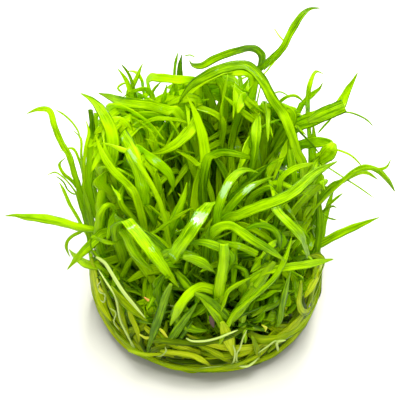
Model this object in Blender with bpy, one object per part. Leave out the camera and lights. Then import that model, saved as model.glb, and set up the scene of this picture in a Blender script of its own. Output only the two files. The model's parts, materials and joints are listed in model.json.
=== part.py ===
"""A clump of dwarf sagittaria plantlets, lifted out of the round cup that it grew in.

The clump stands on the flat underside of its root mat. The origin is the middle of that
underside, +Z is up, and the side at -Y is the front. The script works in millimetres and
writes metres. Leaves that can be told apart from the front are drawn on a sheet of paper
that faces a viewer in front of the clump and above it. Each gives where it is seen on the
sheet and how high it is above the ground there, which together are a point in space.
"""
import math
import random

import bpy
from mathutils import Matrix, Vector
from mathutils.bvhtree import BVHTree

# Driving dimensions, in millimetres
MM = 0.001
MAT_FLOOR_RADIUS = 37.8
MAT_RADIUS = 42.8
MAT_HEIGHT = 12.0
MAT_RIDGE = 0.7
MAT_SECTORS = 48
CLEARANCE = 0.3
CROWN_RADIUS = 2.8
CROWN_FOOT_RADIUS = 1.9
CROWN_HEIGHT = 3.2
CROWN_SIDES = 6
PLANTLETS = 30
PLANTLET_FIELD_RADIUS = 38.0
BLADE_THICKNESS = 0.75
TIP_LENGTH = 5.0
FACE_TURNING = 0.42
STALK_WIDTH = 1.3
RISING_OUT = 2.2
RISING_UP = 4.5
FOOT_SHARE = 0.3
ROOT_DIAMETER = 1.1
CLUMP_HEIGHT = 92.0
OTHER_LEAF_LENGTH = (40.0, 92.0)
OTHER_LEAF_WIDTH = (1.8, 3.6)
OTHER_LEAF_TRIES = 70
WALL_RADIUS = 42.6
WALL_FLARE = 0.09
WALL_LEAF_RISE = (24.0, 62.0)
WALL_SIDE_LIMIT = 17.0
WALL_RISER_POINTS = 6
HIDDEN_POINTS = 5
LONG_LEAF_POINTS = 15
DRAWN_LEAF_POINTS = 11
OTHER_LEAF_POINTS = 6
WALL_LEAF_POINTS = 9
ROOT_POINTS = 9
RUNNER_POINTS = 13
RUNNER_RADIUS = 46.2
RUNNER_TURNS = (0.0, 4.0, -4.0, 8.0, -8.0, 14.0, -14.0, 20.0, -20.0)
RUNNER_RISES = (0.0, 1.5, -1.5, 3.0, 4.5)
VIEW_STEP = 1.5
VIEW_CELL = 3.0
VIEW_MARGIN = 1.5
BEST_OF = 10
NEAR_CROWNS = 8
NEAR_SIDES = 18
LIFT_COST = 2.0
SHOWN_SHARE = 0.8
LIFTS = (0.0, 1.5, -1.5, 3.0, -3.0, 4.5, -4.5, 6.0, -6.0, 8.0, -8.0, 10.0, -10.0)
BULGES = ((0.0, 0.0), (3.0, 0.0), (-3.0, 0.0), (0.0, 3.0), (0.0, -3.0))
DRAWN_FACING = Vector((0.0, -0.60, 0.80))
BLUNT_LEAVES = ("leaf_front_post", "leaf_front_broad", "front_right_blunt", "left_bright_broad")
LEAF_COLOUR = (0.26, 0.55, 0.01)
WALL_COLOUR = (0.30, 0.45, 0.01)
ROOT_COLOUR = (0.60, 0.62, 0.18)
MAT_COLOUR = (0.16, 0.26, 0.01)
SEED = 11

# The sheet that the leaves are drawn on, and the viewer in front of it
EYE = Vector((0.0, -385.7, 459.6))
SHEET_CENTRE = Vector((-2.3, 28.3, 27.1))
SHEET_UNITS_PER_MM = 2.49
SHEET_MIDDLE = 200.0

# Each leaf: its width, its heights evenly along it, and where it is seen from base to tip
LONG_LEAVES = {
    "leaf_far_left_hook": (2.3, (55, 70, 84, 95, 91), (
        (80, 192), (77, 182), (73, 170), (69, 155), (62, 144), (57, 133), (54, 125), (52, 117),
        (50, 111), (44, 109), (36, 110), (26, 114))),
    "leaf_left_flag": (3.5, (50, 57, 58, 57), (
        (104, 232), (90, 230), (80, 228), (70, 225), (60, 222), (50, 220), (40, 218), (25, 217),
        (12, 215), (4, 216))),
    "leaf_left_broad": (4.8, (56, 76, 90, 90), (
        (103, 200), (106, 185), (110, 165), (113, 150), (112, 135), (109, 125), (104, 115),
        (99, 107), (92, 100), (86, 96), (80, 93))),
    "leaf_back_left": (3.9, (83, 90, 82), (
        (178, 113), (170, 111), (160, 108), (150, 105), (140, 104), (130, 103), (120, 101),
        (110, 97), (98, 93))),
    "leaf_back_folded": (3.3, (84, 90, 88, 80, 74), (
        (203, 85), (192, 80), (180, 80), (165, 78), (155, 78), (148, 78), (149, 85), (150, 91),
        (143, 97), (133, 100))),
    "leaf_back_high": (2.9, (84, 97, 104, 101, 95), (
        (257, 73), (261, 62), (262, 54), (256, 49), (247, 48), (238, 50), (228, 53), (218, 57),
        (208, 62), (201, 66), (195, 66), (189, 60))),
    "leaf_great_arch": (3.8, (68, 84, 96, 102, 99, 88), (
        (303, 168), (296, 150), (288, 124), (282, 113), (275, 103), (268, 92), (263, 82),
        (258, 74), (252, 68), (245, 65), (235, 65), (225, 68), (215, 72), (205, 76), (195, 83),
        (185, 92), (178, 104))),
    "leaf_tallest": (2.7, (87, 100, 109, 114, 114), (
        (258, 72), (266, 64), (275, 56), (283, 48), (289, 36), (294, 27), (299, 19), (305, 12),
        (313, 8), (321, 8))),
    "leaf_right_folded": (5.6, (74, 82, 85, 96), (
        (286, 130), (298, 124), (310, 120), (320, 116), (330, 111), (339, 107), (343, 100),
        (347, 91), (352, 83), (358, 72))),
    "leaf_right_claw": (2.0, (54, 66, 74, 74, 62), (
        (318, 208), (320, 200), (327, 190), (336, 183), (346, 179), (352, 173), (359, 168),
        (368, 167), (377, 170), (385, 177), (391, 185), (395, 192))),
    "leaf_right_spear": (3.2, (30, 36, 42), (
        (312, 248), (322, 243), (335, 236), (350, 229), (365, 223), (380, 217))),
    "leaf_right_long": (4.0, (68, 78, 80, 78), (
        (226, 219), (242, 214), (255, 208), (270, 203), (283, 198), (292, 193), (302, 185),
        (312, 176), (322, 169), (330, 165), (338, 161))),
    "leaf_bright_upright": (4.0, (50, 66, 80, 92), (
        (195, 210), (197, 190), (201, 175), (205, 160), (204, 145), (201, 130), (197, 118),
        (192, 106), (187, 96))),
    "leaf_centre_arch": (3.3, (62, 78, 86, 80), (
        (217, 232), (217, 220), (218, 210), (221, 200), (225, 190), (230, 181), (238, 173),
        (247, 170), (259, 173))),
    "leaf_front_broad": (5.4, (72, 80, 74, 60), (
        (214, 203), (208, 206), (200, 217), (193, 228), (187, 237), (180, 247), (174, 256),
        (170, 265))),
    "leaf_front_left": (4.9, (74, 70, 52), (
        (125, 221), (128, 224), (137, 233), (146, 244), (155, 256), (163, 267), (170, 276),
        (179, 288))),
    "leaf_front_post": (4.3, (40, 60, 78), (
        (220, 312), (219, 295), (221, 280), (223, 268), (224, 255), (224, 243))),
}

# Leaves of the plantlets, drawn in the same way
PLANTLET_LEAVES = {
    "left_upright_dark": (3.2, (55, 74, 90), ((88, 188), (90, 165), (91, 145), (92, 125), (90, 107))),
    "left_upright_pale": (2.0, (52, 74, 88), ((94, 188), (95, 165), (96, 145), (96, 110))),
    "left_back_tip": (1.3, (60, 76, 84), ((84, 190), (84, 165), (86, 145), (89, 132), (86, 120))),
    "left_narrow": (1.0, (50, 70, 86, 84), (
        (84, 190), (83, 172), (81, 150), (81, 140), (79, 133), (73, 130))),
    "left_crook": (1.1, (52, 70, 78, 76), (
        (85, 184), (82, 170), (80, 163), (78, 156), (75, 150), (72, 148), (65, 149), (59, 151))),
    "left_loop": (1.4, (46, 60, 68), (
        (82, 196), (77, 188), (72, 181), (66, 176), (61, 171), (59, 166), (61, 160), (66, 157))),
    "left_feeler_high": (0.9, (48, 58, 58), (
        (80, 198), (70, 184), (63, 177), (58, 173), (52, 172), (47, 175))),
    "left_feeler_low": (0.9, (46, 50, 60), (
        (86, 190), (79, 194), (73, 194), (68, 191), (66, 186), (61, 180), (56, 176))),
    "left_outer": (1.4, (36, 48, 60), (
        (82, 226), (76, 215), (71, 207), (67, 198), (63, 189), (59, 182))),
    "left_inner": (1.7, (46, 60, 74), ((82, 206), (78, 188), (74, 172), (70, 157))),
    "left_stem_one": (1.9, (34, 50, 62), ((88, 232), (84, 214), (79, 200), (75, 190))),
    "left_stem_two": (2.6, (36, 52, 66), ((94, 234), (90, 215), (86, 200), (84, 186))),
    "left_stem_three": (3.8, (40, 60, 76), (
        (103, 234), (101, 215), (101, 200), (104, 182), (107, 164))),
    "left_curl": (3.2, (50, 60, 66, 60), ((98, 234), (100, 216), (105, 207), (112, 205), (118, 212))),
    "left_low_broad": (3.8, (50, 46, 36), ((103, 233), (95, 240), (86, 249), (76, 259), (67, 270))),
    "left_low_droop": (3.6, (38, 36, 30), (
        (105, 262), (97, 265), (88, 264), (80, 260), (74, 255), (69, 249))),
    "left_low_hook": (1.3, (46, 42, 32), (
        (86, 231), (76, 234), (69, 239), (66, 245), (67, 251), (70, 257))),
    "left_crescent": (2.0, (52, 52, 50), ((92, 237), (98, 238), (105, 241), (113, 243), (122, 239))),
    "left_diagonal": (3.0, (70, 80, 88), (
        (136, 196), (131, 188), (122, 179), (113, 170), (106, 160), (100, 148), (95, 134))),
    "left_bright_broad": (6.2, (84, 87, 78, 64), (
        (121, 137), (127, 146), (133, 158), (138, 170), (141, 182), (143, 195), (143, 206))),
    "left_shoulder": (5.0, (84, 84, 76, 64), (
        (138, 149), (150, 156), (158, 162), (166, 170), (172, 180), (173, 192))),
    "left_small_tip": (2.0, (80, 84), ((131, 153), (120, 149), (110, 145), (101, 143))),
    "back_thin_arch": (1.7, (80, 88, 83), (
        (127, 131), (140, 124), (150, 120), (160, 118), (170, 119), (180, 120), (190, 124))),
    "centre_broad_left": (4.7, (84, 82, 74), (
        (198, 120), (192, 128), (183, 138), (172, 147), (160, 152), (148, 154))),
    "centre_small": (2.2, (70, 79), ((201, 168), (190, 158), (176, 151))),
    "back_short_dark": (2.4, (76, 92), ((180, 82), (180, 66), (182, 54))),
    "back_short_thin": (1.1, (76, 94), ((174, 84), (175, 66), (178, 52))),
    "back_star_left": (2.2, (82, 92), ((132, 96), (127, 82), (122, 74), (117, 68))),
    "back_star_thin": (1.2, (84, 93), ((134, 90), (130, 77), (126, 70), (121, 64))),
    "back_star_dark": (1.9, (82, 96), ((128, 96), (133, 85), (137, 77), (140, 69), (143, 63))),
    "back_star_arch": (1.4, (78, 90, 88), ((144, 92), (142, 80), (138, 74), (133, 71), (127, 71))),
    "back_star_low": (2.2, (80, 87, 84), ((153, 98), (148, 90), (140, 89), (131, 92), (123, 97))),
    "back_stem_one": (1.8, (72, 90), ((161, 118), (163, 103), (167, 84))),
    "back_stem_two": (1.7, (70, 90), ((168, 116), (169, 100), (173, 84))),
    "back_stem_three": (1.2, (74, 88), ((150, 108), (151, 96), (155, 88), (161, 82))),
    "back_stem_four": (2.3, (70, 92), ((178, 118), (176, 100), (177, 84))),
    "back_stem_five": (3.2, (66, 86), ((205, 126), (204, 108), (203, 92))),
    "back_stem_six": (2.0, (66, 84), ((214, 124), (219, 106), (225, 90))),
    "back_stem_seven": (3.0, (58, 88), ((228, 136), (228, 112), (231, 84))),
    "back_stem_eight": (1.8, (66, 88), ((234, 116), (240, 93), (250, 77))),
    "back_stem_nine": (2.4, (60, 94), ((246, 138), (248, 112), (252, 95), (259, 76))),
    "back_broad_right": (5.0, (66, 84), ((262, 150), (264, 135), (267, 122), (272, 112))),
    "back_tip_right": (0.9, (86, 92, 98, 100), (
        (262, 80), (268, 69), (277, 58), (286, 47), (281, 40), (278, 34), (274, 28))),
    "right_tip_high": (1.8, (76, 92, 100, 98), (
        (308, 116), (308, 96), (311, 80), (316, 71), (320, 69), (324, 74))),
    "right_tip_low": (2.2, (78, 94), ((300, 108), (308, 98), (315, 92), (320, 88), (323, 82))),
    "right_thin_arc": (1.4, (80, 88, 84), ((276, 106), (284, 99), (291, 96), (298, 97), (305, 104))),
    "right_post": (2.6, (62, 82), ((313, 166), (313, 148), (314, 136), (313, 122))),
    "right_turned": (4.8, (68, 76, 74, 64), (
        (296, 147), (308, 143), (319, 141), (329, 143), (332, 149), (326, 154), (318, 158), (309, 163))),
    "right_twig": (0.9, (72, 79, 73), ((322, 154), (334, 150), (348, 154), (357, 161), (363, 168))),
    "right_claw_short": (1.5, (70, 76, 70), (
        (340, 183), (352, 176), (363, 172), (371, 175), (378, 180))),
    "right_claw_thumb": (1.2, (72, 77, 80), (
        (350, 176), (362, 170), (378, 169), (386, 169), (388, 164), (391, 159))),
    "right_arch": (2.1, (60, 74, 81, 78), (
        (281, 208), (280, 195), (280, 182), (285, 173), (295, 168), (305, 165), (316, 163))),
    "right_curtain": (3.9, (74, 77, 70, 50), (
        (274, 199), (276, 210), (284, 219), (293, 227), (300, 236), (305, 247), (308, 258))),
    "right_inner": (2.7, (77, 72, 64), ((268, 188), (280, 200), (290, 212), (298, 224))),
    "right_nib_one": (1.0, (46, 54, 52), ((318, 216), (325, 210), (333, 206), (337, 208))),
    "right_nib_two": (0.9, (44, 50), ((320, 212), (328, 218), (337, 220))),
    "right_nib_three": (1.1, (46, 58), ((322, 212), (334, 200), (343, 193))),
    "right_stem_one": (2.6, (34, 60), ((318, 244), (320, 222), (319, 205), (318, 190))),
    "right_stem_two": (2.2, (34, 58), ((322, 236), (325, 218), (330, 200), (334, 188))),
    "right_low_tip": (3.0, (60, 60, 52), (
        (262, 272), (275, 269), (288, 267), (303, 265), (318, 262), (334, 259))),
    "centre_dark": (2.4, (70, 82), ((232, 198), (240, 190), (252, 179), (262, 170), (272, 161))),
    "centre_wet": (3.3, (66, 79, 82), (
        (221, 219), (232, 205), (240, 196), (249, 188), (260, 182), (275, 176))),
    "centre_cross": (3.4, (72, 80, 76), (
        (207, 161), (215, 154), (225, 152), (237, 154), (248, 157), (260, 160))),
    "centre_blade": (3.9, (52, 70, 83), (
        (167, 241), (172, 226), (178, 212), (182, 202), (185, 192), (187, 182))),
    "centre_slim": (1.3, (60, 75), ((151, 236), (163, 226), (175, 218), (183, 213), (193, 207))),
    "centre_shade": (2.8, (46, 66), ((150, 234), (155, 215), (160, 200), (164, 188))),
    "front_left_second": (2.8, (60, 58, 48), (
        (121, 230), (126, 237), (131, 248), (139, 259), (154, 272))),
    "front_left_under": (3.8, (64, 62, 54), ((132, 229), (145, 234), (160, 241), (175, 254))),
    "front_right_broad": (4.1, (74, 79, 76, 66), (
        (216, 229), (228, 225), (238, 229), (248, 236), (258, 243), (270, 250), (286, 261))),
    "front_right_blunt": (3.3, (66, 68, 62), ((220, 244), (231, 245), (243, 248), (258, 255))),
    "front_right_wet": (3.3, (68, 76, 74, 62), (
        (243, 235), (249, 229), (258, 226), (267, 227), (274, 231), (279, 238), (280, 250))),
    "front_middle": (3.3, (48, 72), ((207, 272), (206, 252), (207, 238), (210, 224))),
    "front_broad_low": (5.6, (62, 64, 54), (
        (170, 254), (182, 255), (195, 259), (206, 265), (217, 275))),
    "front_arch": (3.8, (52, 56, 52, 36), (
        (214, 290), (203, 287), (192, 292), (183, 302), (176, 314), (170, 326))),
    "front_stem_long": (2.0, (34, 50, 62, 72), (
        (225, 332), (235, 313), (248, 302), (262, 290), (275, 277), (283, 264), (288, 250), (292, 236))),
    "front_stem_broad": (3.8, (32, 50, 62), (
        (245, 330), (243, 315), (247, 300), (255, 287), (262, 275), (271, 260))),
    "front_stem_yellow": (3.0, (30, 44, 54), ((227, 334), (220, 322), (212, 311), (199, 297))),
    "front_hook": (2.0, (56, 60, 50), ((224, 268), (236, 267), (244, 270), (247, 280), (248, 291))),
    "front_small_arch": (1.8, (46, 54, 60), ((223, 304), (228, 291), (238, 284), (252, 277))),
    "front_left_stem": (3.6, (30, 50, 60), ((166, 318), (158, 296), (162, 280), (172, 268))),
    "front_left_blade": (4.2, (34, 50), ((139, 300), (148, 286), (158, 272), (165, 262))),
    "front_left_shade": (3.6, (32, 52), ((118, 290), (124, 275), (130, 262), (138, 250))),
}

# Leaves that the cup wall bent round the root mat, and loose pale roots, drawn in the same way
WALL_LEAVES = {
    "wall_leaf_left": (4.6, (46, 41, 38, 29), (
        (88, 247), (103, 262), (115, 278), (127, 293), (138, 306), (152, 323))),
    "wall_leaf_pale": (1.8, (33, 26, 14), (
        (95, 266), (103, 280), (112, 293), (117, 305), (121, 318), (126, 334))),
    "wall_leaf_front": (2.4, (36, 24, 11), (
        (156, 311), (154, 323), (152, 335), (149, 347), (146, 358))),
    "wall_band_right": (4.3, (24, 20, 20, 27), (
        (247, 331), (256, 337), (270, 339), (288, 334), (300, 326), (310, 314), (317, 300), (320, 284))),
    "wall_leaf_right": (3.2, (17, 28, 36, 44), (
        (301, 300), (309, 290), (316, 280), (322, 270), (324, 261), (315, 255), (305, 258))),
    "wall_strand_front": (2.4, (14, 14, 10, 9), (
        (128, 350), (145, 354), (162, 354), (180, 357), (194, 362), (208, 366))),
}
LOOSE_ROOTS = {
    "root_left": (ROOT_DIAMETER, (20, 15, 12), (
        (117, 309), (119, 320), (124, 331), (130, 339), (134, 350))),
    "root_front": (ROOT_DIAMETER, (20, 13, 9, 10), (
        (246, 333), (240, 344), (235, 354), (238, 364), (248, 366), (259, 357))),
    "root_right": (ROOT_DIAMETER, (16, 14, 6), ((286, 340), (277, 342), (278, 351))),
}

# Runners that the cup wall bent round the clump: width, start, sweep (degrees), highest point
RUNNERS = {
    "runner_front": (2.6, 200.0, 112.0, 14.5),
    "runner_back_left": (2.4, 78.0, 104.0, 24.0),
    "runner_back_right": (2.4, -28.0, 92.0, 18.0),
}

# The outline of the clump on the sheet, without the single leaves that stick out of it
OUTLINE = (
    (92, 270), (82, 235), (78, 205), (84, 150), (89, 116), (102, 112), (112, 101), (126, 94),
    (150, 86), (176, 82), (205, 72), (240, 60), (260, 68), (275, 92), (290, 106), (316, 114),
    (318, 142), (328, 165), (328, 188), (321, 205), (323, 240), (319, 262), (319, 290),
    (308, 320), (284, 340), (245, 364), (200, 370), (150, 361), (120, 336), (98, 304))
# Places on the sheet where one sees right through between the leaves
GAPS = (
    ((151, 84), (163, 84), (161, 99), (151, 99)),
    ((211, 97), (222, 94), (219, 109), (213, 115)),
    ((240, 80), (247, 80), (243, 90), (239, 90)),
    ((254, 84), (259, 82), (266, 98), (255, 106)),
    ((130, 133), (135, 133), (137, 142), (131, 139)),
    ((164, 122), (172, 122), (170, 134), (166, 132)),
    ((205, 122), (209, 122), (209, 129), (204, 129)),
    ((299, 132), (308, 140), (300, 143)),
    ((303, 150), (308, 150), (306, 160), (302, 158)),
    ((302, 198), (306, 200), (304, 207), (301, 206)))


def sheet_axes():
    """Return the unit vectors to the right, up and away on the sheet."""
    away = (SHEET_CENTRE - EYE).normalized()
    right = away.cross(Vector((0.0, 0.0, 1.0))).normalized()
    return right, right.cross(away), away


SHEET_RIGHT, SHEET_UP, SHEET_AWAY = sheet_axes()


def from_sheet(across, down, height):
    """Return the point at a height that is seen at a place on the sheet."""
    place = (SHEET_CENTRE + SHEET_RIGHT * (across - SHEET_MIDDLE) / SHEET_UNITS_PER_MM
             + SHEET_UP * (SHEET_MIDDLE - down) / SHEET_UNITS_PER_MM)
    ray = place - EYE
    return EYE + ray * ((height - EYE.z) / ray.z)


def to_sheet(point):
    """Return the place on the sheet where a point is seen."""
    ray = point - EYE
    scale = (SHEET_CENTRE - EYE).length * SHEET_UNITS_PER_MM / ray.dot(SHEET_AWAY)
    return SHEET_MIDDLE + ray.dot(SHEET_RIGHT) * scale, SHEET_MIDDLE - ray.dot(SHEET_UP) * scale


def is_inside(outline, across, down):
    """Tell whether a place on the sheet is inside an outline."""
    inside = False
    for (x_a, y_a), (x_b, y_b) in zip(outline, outline[1:] + outline[:1]):
        if (y_a > down) != (y_b > down) and across < x_a + (down - y_a) * (x_b - x_a) / (y_b - y_a):
            inside = not inside
    return inside


def is_seen_in_clump(point):
    """Tell whether a point is seen inside the clump's outline and in none of its gaps."""
    across, down = to_sheet(point)
    return is_inside(OUTLINE, across, down) and not any(is_inside(gap, across, down) for gap in GAPS)


def spline_point(points, position):
    """Return the point at a position, counted in spans, on a smooth curve through points."""
    span = min(int(position), len(points) - 2)
    t = position - span
    p_1, p_2 = points[span], points[span + 1]
    p_0 = points[span - 1] if span else p_1 * 2 - p_2
    p_3 = points[span + 2] if span + 2 < len(points) else p_2 * 2 - p_1
    return (p_1 * 2 + (p_2 - p_0) * t + (p_0 * 2 - p_1 * 5 + p_2 * 4 - p_3) * t ** 2
            + (p_1 * 3 - p_0 - p_2 * 3 + p_3) * t ** 3) / 2


def even_curve(points, count):
    """Return count points, evenly spaced, on a smooth curve through points."""
    steps = 8 * (len(points) - 1)
    fine = [spline_point(points, (len(points) - 1) * i / steps) for i in range(steps + 1)]
    travelled = [0.0]
    for start, end in zip(fine, fine[1:]):
        travelled.append(travelled[-1] + (end - start).length)
    result = []
    k = 0
    for i in range(count):
        goal = travelled[-1] * i / (count - 1)
        while k < steps - 1 and travelled[k + 1] < goal:
            k += 1
        share = (goal - travelled[k]) / max(travelled[k + 1] - travelled[k], 1e-9)
        result.append(fine[k].lerp(fine[k + 1], min(max(share, 0.0), 1.0)))
    return result


def drawn_curve(heights, trace, lift):
    """Return a leaf's visible stretch in space, moved towards the viewer by a lift in height."""
    flat = even_curve([Vector((x, y, 0.0)) for x, y in trace], 14)
    levels = [Vector((h, 0.0, 0.0)) for h in heights]
    result = []
    for i, place in enumerate(flat):
        level = spline_point(levels, (len(levels) - 1) * i / (len(flat) - 1)).x
        result.append(from_sheet(place.x, place.y, level + lift))
    return result


def blade_widths(path, width, base_width, blunt, opening):
    """Return a blade's width at each point: a stalk, then the full width, then a pointed tip."""
    travelled = [0.0]
    for before, after in zip(path, path[1:]):
        travelled.append(travelled[-1] + (after - before).length)
    tip_length = min(TIP_LENGTH * width, 0.5 * travelled[-1])
    widths = []
    for distance in travelled:
        opened = min(distance / (opening * travelled[-1]), 1.0)
        widened = base_width + (width - base_width) * opened * opened * (3.0 - 2.0 * opened)
        ending = max(0.0, 1.0 - (travelled[-1] - distance) / tip_length)
        widths.append(widened * (1.0 - (0.25 if blunt else 1.0) * ending ** 1.8))
    return widths


def blade_frames(path, first_normal, facing):
    """Return the blade's side and face directions at each point, turning smoothly along it."""
    frames = []
    normal = first_normal
    last = len(path) - 1
    for i in range(last + 1):
        ahead = (path[min(i + 1, last)] - path[max(i - 1, 0)]).normalized()
        normal = (normal - ahead * normal.dot(ahead)).normalized()
        wanted = facing - ahead * facing.dot(ahead)
        if wanted.dot(normal) < 0.0:
            wanted.negate()
        normal = (normal + wanted * FACE_TURNING).normalized()
        side = normal.cross(ahead).normalized()
        frames.append((side, normal))
    return frames


def blade_rings(path, widths, frames, margin=0.0):
    """Return three corners at each point of the path but the last: two edges and a keel."""
    rings = []
    for point, width, (side, normal) in zip(path[:-1], widths, frames):
        half = max(width, 0.8) / 2 + margin
        keel = point - normal * (BLADE_THICKNESS * 0.6 + margin)
        edge = point + normal * (BLADE_THICKNESS * 0.4 + margin)
        rings.append((edge + side * half, edge - side * half, keel))
    return rings


def tube_faces(rings, offset, tip, capped):
    """Return the triangles that join three-cornered rings and close them at a tip point."""
    faces = []
    for k in range(len(rings) - 1):
        low, high = offset + 3 * k, offset + 3 * k + 3
        for a in range(3):
            b = (a + 1) % 3
            faces.append((low + a, low + b, high + b))
            faces.append((low + a, high + b, high + a))
    last = offset + 3 * (len(rings) - 1)
    for a in range(3):
        faces.append((last + a, last + (a + 1) % 3, tip))
    if capped:
        faces.append((offset + 2, offset + 1, offset))
    return faces


class Room:
    """The space that is already taken, so that no two pieces meet."""

    def __init__(self):
        self.taken = []

    def add(self, owner, solid, clear_of_foot):
        """Take the space of a solid, and of the same solid without the foot that joins it."""
        self.taken.append((owner, solid, clear_of_foot))

    def is_free(self, owner, solid, clear_of_foot):
        """Tell whether a solid meets nothing, its foot aside among its own plantlet."""
        for other, other_solid, other_clear in self.taken:
            if other == owner:
                meet = solids_meet(clear_of_foot, other_clear)
            else:
                meet = solids_meet(solid, other_solid)
            if meet:
                return False
        return True


class View:
    """Which places on the sheet show a drawn leaf, and how far away it is there."""

    def __init__(self):
        self.nearest = {}

    def cells(self, path, width):
        """Return the squares of the sheet that a leaf covers, each with its distance."""
        found = {}
        for before, after in zip(path, path[1:]):
            steps = max(2, int((after - before).length / VIEW_STEP))
            for i in range(steps):
                point = before.lerp(after, i / steps)
                distance = (point - EYE).dot(SHEET_AWAY)
                side = (after - before).cross(SHEET_AWAY).normalized() * width / 2
                for place in (point - side, point, point + side):
                    across, down = to_sheet(place)
                    cell = (int(across / VIEW_CELL), int(down / VIEW_CELL))
                    found[cell] = min(distance, found.get(cell, distance))
        return found

    def show(self, path, width):
        """Note where a drawn leaf is seen."""
        for cell, distance in self.cells(path, width).items():
            self.nearest[cell] = min(distance, self.nearest.get(cell, distance))

    def hidden_by(self, path, width):
        """Return how many squares of drawn leaves a path would hide."""
        return sum(distance < self.nearest.get(cell, 0.0) - VIEW_MARGIN
                   for cell, distance in self.cells(path, width).items())


def crosses_itself(rings, tip):
    """Tell whether a blade is bent or twisted so sharply that it runs through itself."""
    vertices, faces = leaf_mesh(rings, tip)
    tree = BVHTree.FromPolygons(vertices, faces)
    return any(not set(faces[i]) & set(faces[j]) for i, j in tree.overlap(tree))


def solids_meet(solid_a, solid_b):
    """Tell whether the surfaces of two solids meet."""
    (tree_a, (low_a, high_a)), (tree_b, (low_b, high_b)) = solid_a, solid_b
    if any(low_a[i] > high_b[i] or low_b[i] > high_a[i] for i in range(3)):
        return False
    return bool(tree_a.overlap(tree_b))


def searchable(vertices, faces):
    """Return a search tree of a mesh with its box."""
    low = tuple(min(v[i] for v in vertices) for i in range(3))
    high = tuple(max(v[i] for v in vertices) for i in range(3))
    return BVHTree.FromPolygons(vertices, faces), (low, high)


def blade_solids(rings, tip):
    """Return a blade's search trees: the whole of it, and all but its foot."""
    above_foot = tuple(low.lerp(high, FOOT_SHARE) for low, high in zip(rings[0], rings[1]))
    solids = []
    for first in (rings[0], above_foot):
        vertices = [corner for ring in (first, *rings[1:]) for corner in ring] + [tip]
        solids.append(searchable(vertices, tube_faces(rings, 0, len(vertices) - 1, True)))
    return solids


class Plantlet:
    """A rosette: a six-sided crown whose sides each may carry one leaf."""

    def __init__(self, name, place, turn):
        self.name = name
        self.place = place
        self.turn = turn
        self.leaves = {}

    def corner(self, k, top):
        """Return a corner of the crown."""
        angle = self.turn + (k + (0.0 if top else 0.5)) * 2 * math.pi / CROWN_SIDES
        radius = CROWN_RADIUS if top else CROWN_FOOT_RADIUS
        height = MAT_HEIGHT + CLEARANCE + (CROWN_HEIGHT if top else 0.0)
        return Vector((self.place.x + radius * math.cos(angle),
                       self.place.y + radius * math.sin(angle), height))

    def side(self, k):
        """Return the three corners that a leaf grows from: its two edges and its keel."""
        return self.corner(k + 1, True), self.corner(k, True), self.corner(k, False)

    def outward(self, k):
        """Return the level direction that a side faces."""
        angle = self.turn + (k + 0.5) * 2 * math.pi / CROWN_SIDES
        return Vector((math.cos(angle), math.sin(angle), 0.0))

    def mesh(self):
        """Return the vertices and faces of the crown with its leaves."""
        sides = range(CROWN_SIDES)
        vertices = [self.corner(k, True) for k in sides] + [self.corner(k, False) for k in sides]
        faces = []
        for k in sides:
            after = (k + 1) % CROWN_SIDES
            keel, next_keel = CROWN_SIDES + k, CROWN_SIDES + after
            faces.append((after, keel, next_keel))
            if k not in self.leaves:
                faces.append((after, k, keel))
                continue
            rings, tip = self.leaves[k]
            start = len(vertices)
            vertices.extend(corner for ring in rings[1:] for corner in ring)
            vertices.append(tip)
            base = (after, k, keel)
            for a in range(3):
                b = (a + 1) % 3
                faces.append((base[a], base[b], start + b))
                faces.append((base[a], start + b, start + a))
            faces.extend(tube_faces(rings[1:], start, len(vertices) - 1, False))
        for k in range(1, CROWN_SIDES - 1):
            faces.append((0, k, k + 1))
            faces.append((CROWN_SIDES, CROWN_SIDES + k + 1, CROWN_SIDES + k))
        return vertices, faces


def grown_path(root, outward, visible, count, bulge):
    """Return a leaf's path: up from its root, with a sideways bulge, then its visible stretch."""
    ahead = (visible[2] - visible[0]).normalized()
    reach = (visible[0] - root).length
    rising = root + outward * RISING_OUT + Vector((0.0, 0.0, min(RISING_UP, reach * 0.3)))
    before = visible[0] - ahead * min(7.0, reach * 0.25)
    before.z = max(before.z, rising.z + 0.4 * (visible[0].z - rising.z))
    middle = (rising + before) / 2 + Vector((*bulge, 0.0))
    stalk = even_curve([rising, middle, before, visible[0]], HIDDEN_POINTS - 1)
    return [root] + stalk[:-1] + even_curve(visible, count - HIDDEN_POINTS + 1)


def leaf_solids(base_ring, path, frames, widths):
    """Return a leaf's rings, with its search trees at its own size and with its clearance."""
    rings = blade_rings(path, widths, frames)
    wide = blade_rings(path, widths, frames, CLEARANCE)
    if base_ring is None:
        root = path[0]
        rings[0] = tuple(Vector((c.x, c.y, root.z)) for c in rings[0])
        wide[0] = tuple(Vector((c.x, c.y, root.z)) for c in wide[0])
    else:
        rings[0] = base_ring
        wide[0] = base_ring
    ahead = (path[-1] - path[-2]).normalized()
    return rings, blade_solids(rings, path[-1]), blade_solids(wide, path[-1] + ahead * CLEARANCE)


def place_leaf(room, owner, base_ring, path, frames, widths):
    """Take the room for a leaf and return its rings and tip, or return None if it meets a piece."""
    rings, solids, wide_solids = leaf_solids(base_ring, path, frames, widths)
    if not room.is_free(owner, *wide_solids) or crosses_itself(rings, path[-1]):
        return None
    room.add(owner, *solids)
    return rings, path[-1]


def ideal_root(visible):
    """Return the place on the mat below the start of a leaf's visible stretch."""
    ahead = (visible[2] - visible[0]).normalized()
    place = Vector((visible[0].x - ahead.x * 9.0, visible[0].y - ahead.y * 9.0)) * 0.82
    limit = PLANTLET_FIELD_RADIUS
    return place if place.length < limit else place.normalized() * limit


def places_around(centre, spacing, rounds):
    """Return a place and the places on widening rings around it."""
    places = [centre]
    for ring in range(1, rounds):
        for step in range(ring * 6):
            angle = 2.4 + step * 2 * math.pi / (ring * 6)
            places.append(centre + Vector((math.cos(angle), math.sin(angle))) * ring * spacing)
    return places


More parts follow.
